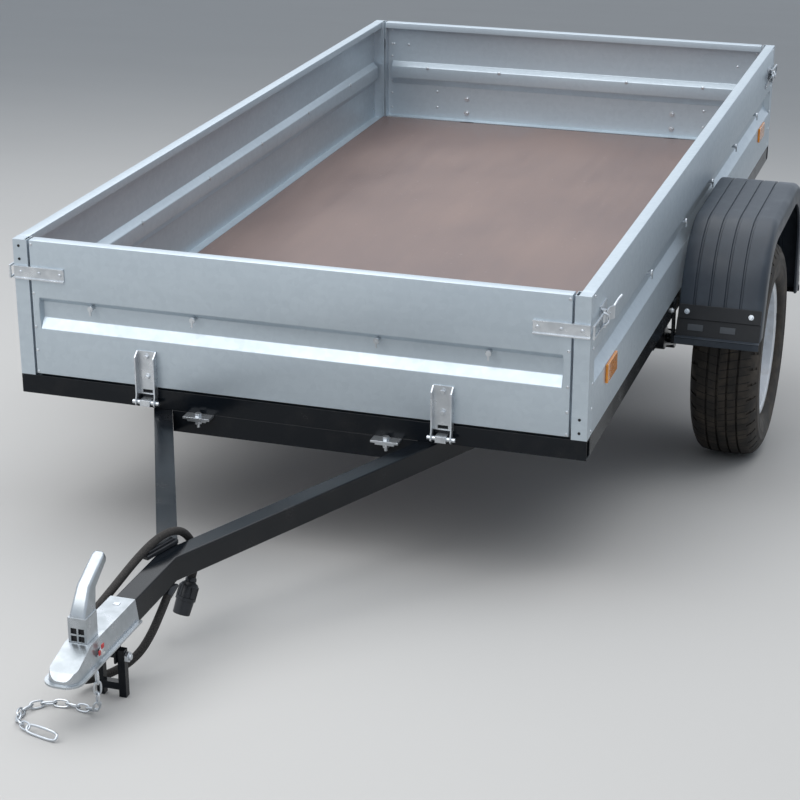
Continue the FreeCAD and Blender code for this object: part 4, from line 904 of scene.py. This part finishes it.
def make_fender(hand):
    """One mudguard with a bolted strip, a plain panel and a turned lip across each end."""
    name = side_name(hand)
    place = IN_MILLIMETRES @ Matrix.Translation((0, WHEEL_ALONG, CROWN))
    piece = made("mudguard_" + name, fender_shell(hand), "black_plastic", where=place, sharp=38)
    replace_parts(piece, "fender_" + name)
    panels, lips, strips, pads, bolts = [bmesh.new() for _ in range(5)]
    edge = FENDER_IN if hand > 0 else -FENDER_IN - FENDER_WIDTH
    for end, reach, drop, slope in FENDER_ENDS:
        # a frame at the end's foot: outwards is Y, up along the slope is Z
        foot = Matrix.Translation((0, end * reach, -drop)) @ turned(end * (90 - slope), "X")
        for shell, inset, thick, low, height in ((panels, 1, 3, 2, 46), (strips, 2, 6, 46, 36)):
            bar(shell, (edge + inset, min(0, end * thick), low),
                (FENDER_WIDTH - 2 * inset, thick, height), foot)
        for across in (48, 128):
            spot = hand * (FENDER_IN + across)
            bar(pads, (spot - 19, 2 if end > 0 else -4.2, 18), (38, 2.2, 16), foot)
        for across in (24, 182):
            spot = foot @ Vector((hand * (FENDER_IN + across), end * 6, 64))
            hex_bolt(bolts, spot, foot.to_3x3() @ Vector((0, end, 0)), 5, 4, 6.5)
        lip = end * reach + min(0, end * FENDER_LIP)
        rim = lip if end < 0 else lip + FENDER_LIP - FENDER_WALL
        bar(lips, (edge, lip, -drop), (FENDER_WIDTH, FENDER_LIP, 4.5))
        bar(lips, (edge, rim, -drop - 14), (FENDER_WIDTH, FENDER_WALL, 18))
    # one bolt through the guard's inner side behind, seen under the arch
    hex_bolt(bolts, (hand * (FENDER_IN + 60), 290, -175), (0, -1, 0), 6, 5, 9)
    for part, shell, finish, width in (
            ("ends", panels, "strip_black", 1.3), ("lips", lips, "black_plastic", 1.3),
            ("strips", strips, "strip_black", 1.3), ("pads", pads, "worn_plastic", 0.9)):
        rounded(made("mudguard_%s_%s" % (part, name), shell, finish,
                     where=place), width)
    made("mudguard_bolts_" + name, bolts, "zinc_plated", where=place)
    studs = bmesh.new()
    hex_bolt(studs, (hand * BODY_WIDTH / 2, 929, -23), (hand, 0, 0), 5.5, 4, 8)
    made("body_bolts_" + name, studs, "zinc_plated")


# Cable

CABLE_ROUTE = (
    # across, along, up
    (14, -706, -110), (14, -742, -131), (13, -780, -152), (7, -818, -171), (-10, -850, -185),
    (-32, -876, -192), (-50, -902, -191), (-58, -932, -178), (-60, -956, -152),
    (-60, -962, -120), (-57, -948, -90), (-53, -918, -73), (-50, -882, -66), (-47, -804, -55),
    (-38, -720, -34), (-26, -664, -20), (-14, -626, -17), (-4, -594, -27), (3, -571, -51),
    (8, -560, -81), (10, -563, -111), (5, -575, -138))
# In metres
CABLE_DIAMETER = 0.016


def make_cable():
    """Sleeved cable on one smooth curve."""
    cable = wire("cable_sleeve", CABLE_ROUTE, CABLE_DIAMETER * 1000 / 2, "cable_sleeve")
    cable.data.splines[0].resolution_u = 12
    cable.data.bevel_resolution = 4
    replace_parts(cable, "cable")
    return cable


def cable_saddle():
    """Saddle on the drawbar that carries the cable over, with a narrower step on it."""
    start = Vector((-34, -700, -44))
    way = Vector((-10, -612, -44)) - start
    turn = Matrix.Translation(start) @ turned(-math.degrees(math.atan2(way.x, way.y)), "Z")
    shell = bars(((-11, 0, 0), (22, way.length, 9)), ((-7, 8, 9), (14, way.length - 16, 5)),
                 turn=turn)
    rounded(made("cable_saddle", shell, "plug_black"), 2.0, 3)


def make_plug():
    """Round ribbed plug: boot, grip, collar, contact sleeve and the catch on its side."""
    start = Vector(CABLE_ROUTE[-1])
    way = (start - Vector(CABLE_ROUTE[-2])).normalized()
    turn = way.to_track_quat("Z", "Y").to_matrix().to_4x4()
    section = ((-4, 9.2), (0, 11), (3, 11.2), (3.4, 10), (6, 11.8), (9, 16), (13, 18.4),
               (34.5, 19), (35.5, 20), (41, 20), (42, 17.8), (68.5, 17), (70, 15.6), (70, 13.6),
               (58, 13.4), (58, 0.2))
    shell = lathed([(radius, 0, along) for along, radius in section], (0, 0, 1), STAVES)
    # every third stave of the grip stands proud, as finger ribs
    grip = []
    for face in shell.faces:
        middle = face.calc_center_median()
        stave = int((math.atan2(middle.x, middle.y) % math.tau) / math.tau * STAVES)
        if 14 < middle.z < 33 and middle.xy.length > 17 and stave % 3 == 0:
            grip.append(face)
    raised = bmesh.ops.extrude_face_region(shell, geom=grip)["geom"]
    bmesh.ops.delete(shell, geom=grip, context="FACES_ONLY")
    for vert in only(bmesh.types.BMVert, raised):
        vert.co += Vector((vert.co.x, vert.co.y, 0)).normalized() * 0.9
    bmesh.ops.recalc_face_normals(shell, faces=shell.faces)
    place = IN_MILLIMETRES @ Matrix.Translation(start) @ turn
    piece = made("plug_body", shell, "plug_black", where=place)
    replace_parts(piece, "plug")
    side = (turn.inverted() @ Vector((0.72, -0.2, 0.55))).xy.normalized()
    spin = Matrix.Rotation(math.atan2(side.y, side.x), 4, "Z")
    catch = bars(((15, -5.5, 16), (8, 11, 18)), ((19, -7, 12), (5, 14, 6)), turn=spin)
    tab = made("plug_catch", catch, "plug_black", where=place)
    return [piece, rounded(tab, 1.2)]


# Coupler

LEVER = (
    # along and up of the handle's top line, then of its lower line, and its width
    ((-1042, 3), (-1000, 3), 33),
    ((-1040, 14), (-999, 12), 30),
    ((-1012, 57.6), (-989, 46.5), 25),
    ((-953, 88.5), (-943, 74), 23),
    ((-946, 91.5), (-939, 79), 20),
    ((-942.5, 91), (-938, 83), 14),
)


def rounded_loop(shell, top, low, width):
    """A closed section whose upper two corners are round; returns its edges."""
    drop = Vector((0, low[0] - top[0], low[1] - top[1]))
    down = drop.normalized()
    origin = Vector((0, *top))
    half = width / 2
    corner = min(5, half * 0.9, drop.length * 0.45)
    steps = 4
    points = [(-half, drop.length)]
    for hand in (-1, 1):
        for number in range(steps + 1):
            angle = math.radians(90 * (number / steps if hand < 0 else 1 - number / steps))
            points.append((hand * (half - corner + corner * math.cos(angle)),
                           corner - corner * math.sin(angle)))
    points.append((half, drop.length))
    knots = [shell.verts.new(origin + Vector((across, 0, 0)) + down * deep)
             for across, deep in points]
    return [shell.edges.new(pair) for pair in zip(knots, knots[1:] + knots[:1])]


def make_handle():
    """The lever's rounded handle, hollow below."""
    shell = bmesh.new()
    loops = [rounded_loop(shell, *row) for row in LEVER]
    for loop, following in zip(loops, loops[1:]):
        bmesh.ops.bridge_loops(shell, edges=loop + following)
    for loop in (loops[0], loops[-1]):
        bmesh.ops.contextual_create(shell, geom=loop)
    bmesh.ops.recalc_face_normals(shell, faces=shell.faces)
    below = [face for face in shell.faces if face.normal.z < -0.35
             and 8 < face.calc_center_median().z < 84 and len(face.verts) == 4]
    bmesh.ops.inset_region(shell, faces=below, thickness=2.5, use_even_offset=True)
    channel = bmesh.ops.extrude_face_region(shell, geom=below)["geom"]
    bmesh.ops.delete(shell, geom=below, context="FACES_ONLY")
    bmesh.ops.translate(shell, vec=(0, -6, 7), verts=only(bmesh.types.BMVert, channel))
    made("lever_handle", shell, "zinc_pressed", sharp=50)


def make_fork():
    """The lever's slotted fork: the CAD lever below its handle, and a near-black plate behind its
    slots as painted shade.
    """
    fork = merged("coupler_lever")
    bmesh.ops.transform(fork, matrix=IN_MILLIMETRES.inverted(), verts=fork.verts)
    cut(fork, (0, 0, LEVER_CUT), (0, 0, 1), beyond=True)
    holes_filled(fork)
    base = made("lever_fork", flattened(fork), "zinc_pressed")
    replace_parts(rounded(base, 1.0), "coupler_lever")
    # near-black plates behind the slots: painted shade seen through them
    slot_shade_plates = bars(((-15, -1038.5, -36), (30, 2, 44)))
    made("lever_slots_painted_shade", slot_shade_plates, "dark_gap")


def make_chain():
    """The chain's own links, made round."""
    chain = made("chain_links", flattened(merged("safety_chain")), "zinc_plated",
                 where=Matrix(), sharp=80)
    smooth = chain.modifiers.new("rounding", "SUBSURF")
    smooth.levels = 2
    smooth.render_levels = 2
    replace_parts(chain, "safety_chain")


def coupler_trim():
    """Pressed tab behind the lever, wear marks with their pointer, and the leg's bolt head."""
    tab = bars(((-6, -893, COUPLER_TOP), (12, 9, 1.6)))
    disc(tab, (0, -1012, COUPLER_TOP), (0, 0, 1), 4, 1.6, 16, 3.4)
    rounded(made("coupler_tab", tab, "zinc_plated"), 0.7)
    marks = bars(((31.5, -1020, -55), (2.2, 9, 8)), ((31.5, -1031, -63), (2.2, 6, 9)))
    rounded(made("wear_marks", marks, "red_indicator"), 0.6)
    pointer = bars(((32.5, -1024, -66), (2.2, 4, 10)), ((32.5, -1017, -67), (2, 7, 3)))
    rounded(made("wear_pointer", pointer, "pale_plastic"), 0.6)
    head = bmesh.new()
    stack(head, (29.3, -920, -122), (1, 0, 0), (10.6, 6.2, 6), (6.2, 4, 16, 5.4))
    rounded(made("stand_bolt", head, "zinc_plated"), 0.6)


# Latches and lamps

# The toggle's finger and bow: out from the body's side, along from its end, and up
FINGER = ((11, 122, 240), (13, 138, 243), (15, 156, 249), (19, 172, 257), (24, 182, 262))
BOW = ((7, 82, 226), (16, 84, 229), (18, 92, 240), (16, 84, 251), (7, 82, 254))


def latch_trim(hand, end):
    """The toggle's finger and bow and its plate's ear; end is -1 at the front, 1 behind."""
    def on_side(out, along, up):
        return (hand * (BODY_WIDTH / 2 + out), along if end < 0 else BODY_LENGTH - along, up)

    name = "%s_%s" % (side_name(hand), "front" if end < 0 else "rear")
    wire("latch_finger_" + name, [on_side(*spot) for spot in FINGER], 3.2, "zinc_plated")
    wire("latch_bow_" + name, [on_side(*spot) for spot in BOW], 2.2, "zinc_plated")
    corners = (on_side(0, 136, 214), on_side(3, 166, 226))
    low = [min(pair) for pair in zip(*corners)]
    ear = bars((low, [abs(one - other) for one, other in zip(*corners)]))
    for out, along in ((2.5, 84), (3, 160)):
        rivet(ear, on_side(out, along, 220), (hand, 0, 0), 4)
    rounded(made("latch_ear_" + name, ear, "zinc_plated"), 0.8)


def strap_bolts(body, end):
    """Bolts and rivets on an opening board's straps; end is -1 at the front, 1 behind."""
    shell = bmesh.new()
    face = 0 if end < 0 else BODY_LENGTH
    for side in (-1, 1):
        for up in HINGE_BOLTS:
            hex_bolt(shell, (side * HINGE_ACROSS, face + end * 3, up), (0, end, 0), 6, 4, 8.5)
        for across in STRAP_RIVETS:
            rivet(shell, (side * across, face + end * 2.5, LATCH_UP), (0, end, 0), 4.5)
    made("strap_bolts_" + body, shell, "zinc_plated", body)


def tail_lenses():
    """Amber, red and clear sections of the two rear lamps, from outside in."""
    for finish, near, far in (("lamp_amber", 547, 599.3), ("lamp_red", 449, 545.5),
                              ("lamp_clear", 400.7, 447.5)):
        size = (far - near, 16.3, LAMP_HEIGHT)
        shell = bars(*(((across, BODY_LENGTH - 16, LAMP_FOOT), size) for across in (-far, near)))
        rounded(made(finish + "_lens", shell, finish), 2.5, 3)


# Studio

def studio_floor(scene):
    """A pale floor with faint patches."""
    shell = bmesh.new()
    bmesh.ops.create_grid(shell, x_segments=1, y_segments=1, size=40)
    mesh = bpy.data.meshes.new("studio_floor")
    shell.to_mesh(mesh)
    shell.free()
    ground = bpy.data.objects.new("studio_floor", mesh)
    scene.collection.objects.link(ground)
    pale = tuple(scene.trailer_colours.floor)
    look = Finish("studio_floor", pale, 0.85)
    look.set("Base Color", look.mix(look.noise(0.7, 3), tuple(0.93 * part for part in pale),
                                    pale))
    mesh.materials.append(look.material)


def studio_sky(scene):
    """A pale sky, seen at full strength by the camera, in reflections and through glass."""
    world = bpy.data.worlds.new("studio")
    world.use_nodes = True
    sky = Nodes(world.node_tree)
    strength = SKY_LIGHT
    for ray in ("Is Camera Ray", "Is Glossy Ray", "Is Transmission Ray"):
        strength = sky.node("ShaderNodeLightPath", out=ray) * (1 - SKY_LIGHT) + strength
    glow = sky.node("ShaderNodeBackground", {}, SKY_COLOUR, strength)
    sky.node("ShaderNodeOutputWorld", {}, glow)
    scene.world = world


def studio_lamps(scene):
    """Two large soft lamps."""
    for name, place, aim, size, power, colour in LAMPS:
        lamp = bpy.data.lights.new(name, "AREA")
        lamp.size = size
        lamp.energy = power
        lamp.color = colour
        holder = bpy.data.objects.new(name, lamp)
        holder.location = place
        holder.rotation_euler = (Vector(aim) - Vector(place)).to_track_quat("-Z", "Y").to_euler()
        scene.collection.objects.link(holder)


def photo_camera(scene):
    """The photograph's own viewpoint, solved from the body's corners on the level trailer."""
    camera = bpy.data.cameras.new("camera")
    camera.sensor_width = 36
    camera.lens = camera.sensor_width * PHOTO_FOCAL / PHOTO_WIDTH
    viewer = bpy.data.objects.new("camera", camera)
    way = LEVEL.to_3x3() @ Vector(SIGHT)
    right = way.cross(LEVEL.to_3x3() @ Vector((0, 0, 1))).normalized()
    up = right.cross(way).normalized()
    turn = Matrix((right, up, -way)).transposed().to_4x4()
    viewer.matrix_world = Matrix.Translation(at(*EYE)) @ turn
    scene.collection.objects.link(viewer)
    scene.camera = viewer


# Operators

class TrailerSizes(bpy.types.PropertyGroup):
    """Sizes that a user would change."""
    edge: bpy.props.FloatProperty(name="Edge", description="Rounding of cut steel edges",
                                  default=0.0009, unit="LENGTH")
    tube: bpy.props.FloatProperty(name="Tube", description="Corner radius of the steel tubes",
                                  default=0.003, unit="LENGTH")


class TrailerColours(bpy.types.PropertyGroup):
    """Colours that a user would change."""
    floor: bpy.props.FloatVectorProperty(name="Floor", description="Colour of the studio floor",
                                         default=(0.52, 0.52, 0.515), subtype="COLOR", size=3)


class TRAILER_OT_stage(bpy.types.Operator):
    """Adds the pale floor, the soft lights and the camera"""
    bl_idname = "trailer.stage"
    bl_label = "Stage"

    def execute(self, context):
        scene = context.scene
        scene.view_settings.view_transform = "Standard"
        studio_floor(scene)
        studio_sky(scene)
        studio_lamps(scene)
        photo_camera(scene)
        return {"FINISHED"}


class TRAILER_OT_cable(bpy.types.Operator):
    """Adds the sleeved cable, its gland and its plug"""
    bl_idname = "trailer.cable"
    bl_label = "Cable"

    def execute(self, context):
        cable = make_cable()
        plug = make_plug()
        cable_saddle()
        gland = dressed("cable_gland", "plug_black", 1.0)
        return {"FINISHED"}


class TRAILER_OT_boards(bpy.types.Operator):
    """Adds the four folded boards with their rivets, the posts and the floor"""
    bl_idname = "trailer.boards"
    bl_label = "Boards"

    def execute(self, context):
        for row in BOARDS:
            make_board(*row)
        dressed("corner_posts", "galvanised_sheet", 0.5)
        post_holes_painted_shade()
        painted("floor_board", "floor_film")
        return {"FINISHED"}


class TRAILER_OT_frame(bpy.types.Operator):
    """Dresses the perimeter frame, drawbar, axle and clamps"""
    bl_idname = "trailer.frame"
    bl_label = "Frame"

    def execute(self, context):
        tube = context.scene.trailer_sizes.tube * 1000
        edge = context.scene.trailer_sizes.edge * 1000
        for node in ("drawbar_cross_tube", "drawbar_arm_right", "drawbar_arm_left", "axle_beam"):
            dressed(node, "frame_black", tube, 4)
        for node in ("frame_beam_front", "frame_beam_rear", "frame_rails",
                     "frame_cross_members", "axle_hangers", "swing_arm_right",
                     "swing_arm_left", "fender_stays"):
            dressed(node, "frame_black", edge)
        dressed("drawbar_clamps", "zinc_plated", edge)
        return {"FINISHED"}


class TRAILER_OT_coupler(bpy.types.Operator):
    """Dresses the pressed coupler, its lever, the indicator, the parking leg and the chain"""
    bl_idname = "trailer.coupler"
    bl_label = "Coupler"

    def execute(self, context):
        dressed("coupler_body", "zinc_pressed", 1.8, 3, 25)
        make_handle()
        make_fork()
        dressed("coupler_indicator", "zinc_plated", 0.8)
        dressed("stand_bracket", "frame_black", 0.8)
        dressed("stand_leg", "frame_black", 4.0, 4)
        make_chain()
        coupler_trim()
        return {"FINISHED"}


class TRAILER_OT_wheels(bpy.types.Operator):
    """Adds the tyres, rims and hub caps"""
    bl_idname = "trailer.wheels"
    bl_label = "Wheels"

    def execute(self, context):
        for hand in (-1, 1):
            make_tyre(hand)
            make_rim(hand)
            make_wheel_trim(hand)
        return {"FINISHED"}


class TRAILER_OT_mudguards(bpy.types.Operator):
    """Adds the two grooved mudguards with their strips and bolts"""
    bl_idname = "trailer.mudguards"
    bl_label = "Mudguards"

    def execute(self, context):
        for hand in (-1, 1):
            make_fender(hand)
        return {"FINISHED"}


class TRAILER_OT_fittings(bpy.types.Operator):
    """Dresses hinges, latch straps, toggle latches, reflectors and lamps"""
    bl_idname = "trailer.fittings"
    bl_label = "Fittings"

    def execute(self, context):
        for node in ("front_board_straps", "tailgate_straps", "hinge_lugs", "latch_clasps"):
            dressed(node, "zinc_plated", 0.8)
        dressed("side_reflectors", "amber_reflector", 1.2, 3)
        dressed("tail_lamps", "strip_black", 2.0, 3)
        tail_lenses()
        strap_bolts("front_board", -1)
        strap_bolts("tailgate", 1)
        for hand in (-1, 1):
            for end in (1, -1):
                latch_trim(hand, end)
        return {"FINISHED"}


class TRAILER_PT_panel(bpy.types.Panel):
    """Lists the trailer's pieces"""
    bl_idname = "TRAILER_PT_panel"
    bl_label = "Utility trailer"
    bl_space_type = "VIEW_3D"
    bl_region_type = "UI"
    bl_category = "Trailer"

    def draw(self, context):
        for group in (context.scene.trailer_sizes, context.scene.trailer_colours):
            for name in group.__annotations__:
                self.layout.prop(group, name)
        for step in STEPS:
            self.layout.operator("trailer." + step)


STEPS = ("stage", "cable", "boards", "frame", "coupler", "wheels", "mudguards", "fittings")
CLASSES = (TrailerSizes, TrailerColours, TRAILER_OT_stage, TRAILER_OT_cable, TRAILER_OT_boards,
           TRAILER_OT_frame, TRAILER_OT_coupler, TRAILER_OT_wheels, TRAILER_OT_mudguards,
           TRAILER_OT_fittings, TRAILER_PT_panel)


def register():
    for kind in CLASSES:
        bpy.utils.register_class(kind)
    bpy.types.Scene.trailer_sizes = bpy.props.PointerProperty(type=TrailerSizes)
    bpy.types.Scene.trailer_colours = bpy.props.PointerProperty(type=TrailerColours)


def unregister():
    del bpy.types.Scene.trailer_colours
    del bpy.types.Scene.trailer_sizes
    for kind in reversed(CLASSES):
        bpy.utils.unregister_class(kind)


def main():
    register()
    FINISHES.update(make_finishes())
    for step in STEPS:
        getattr(bpy.ops.trailer, step)()


if __name__ == "__main__":
    main()
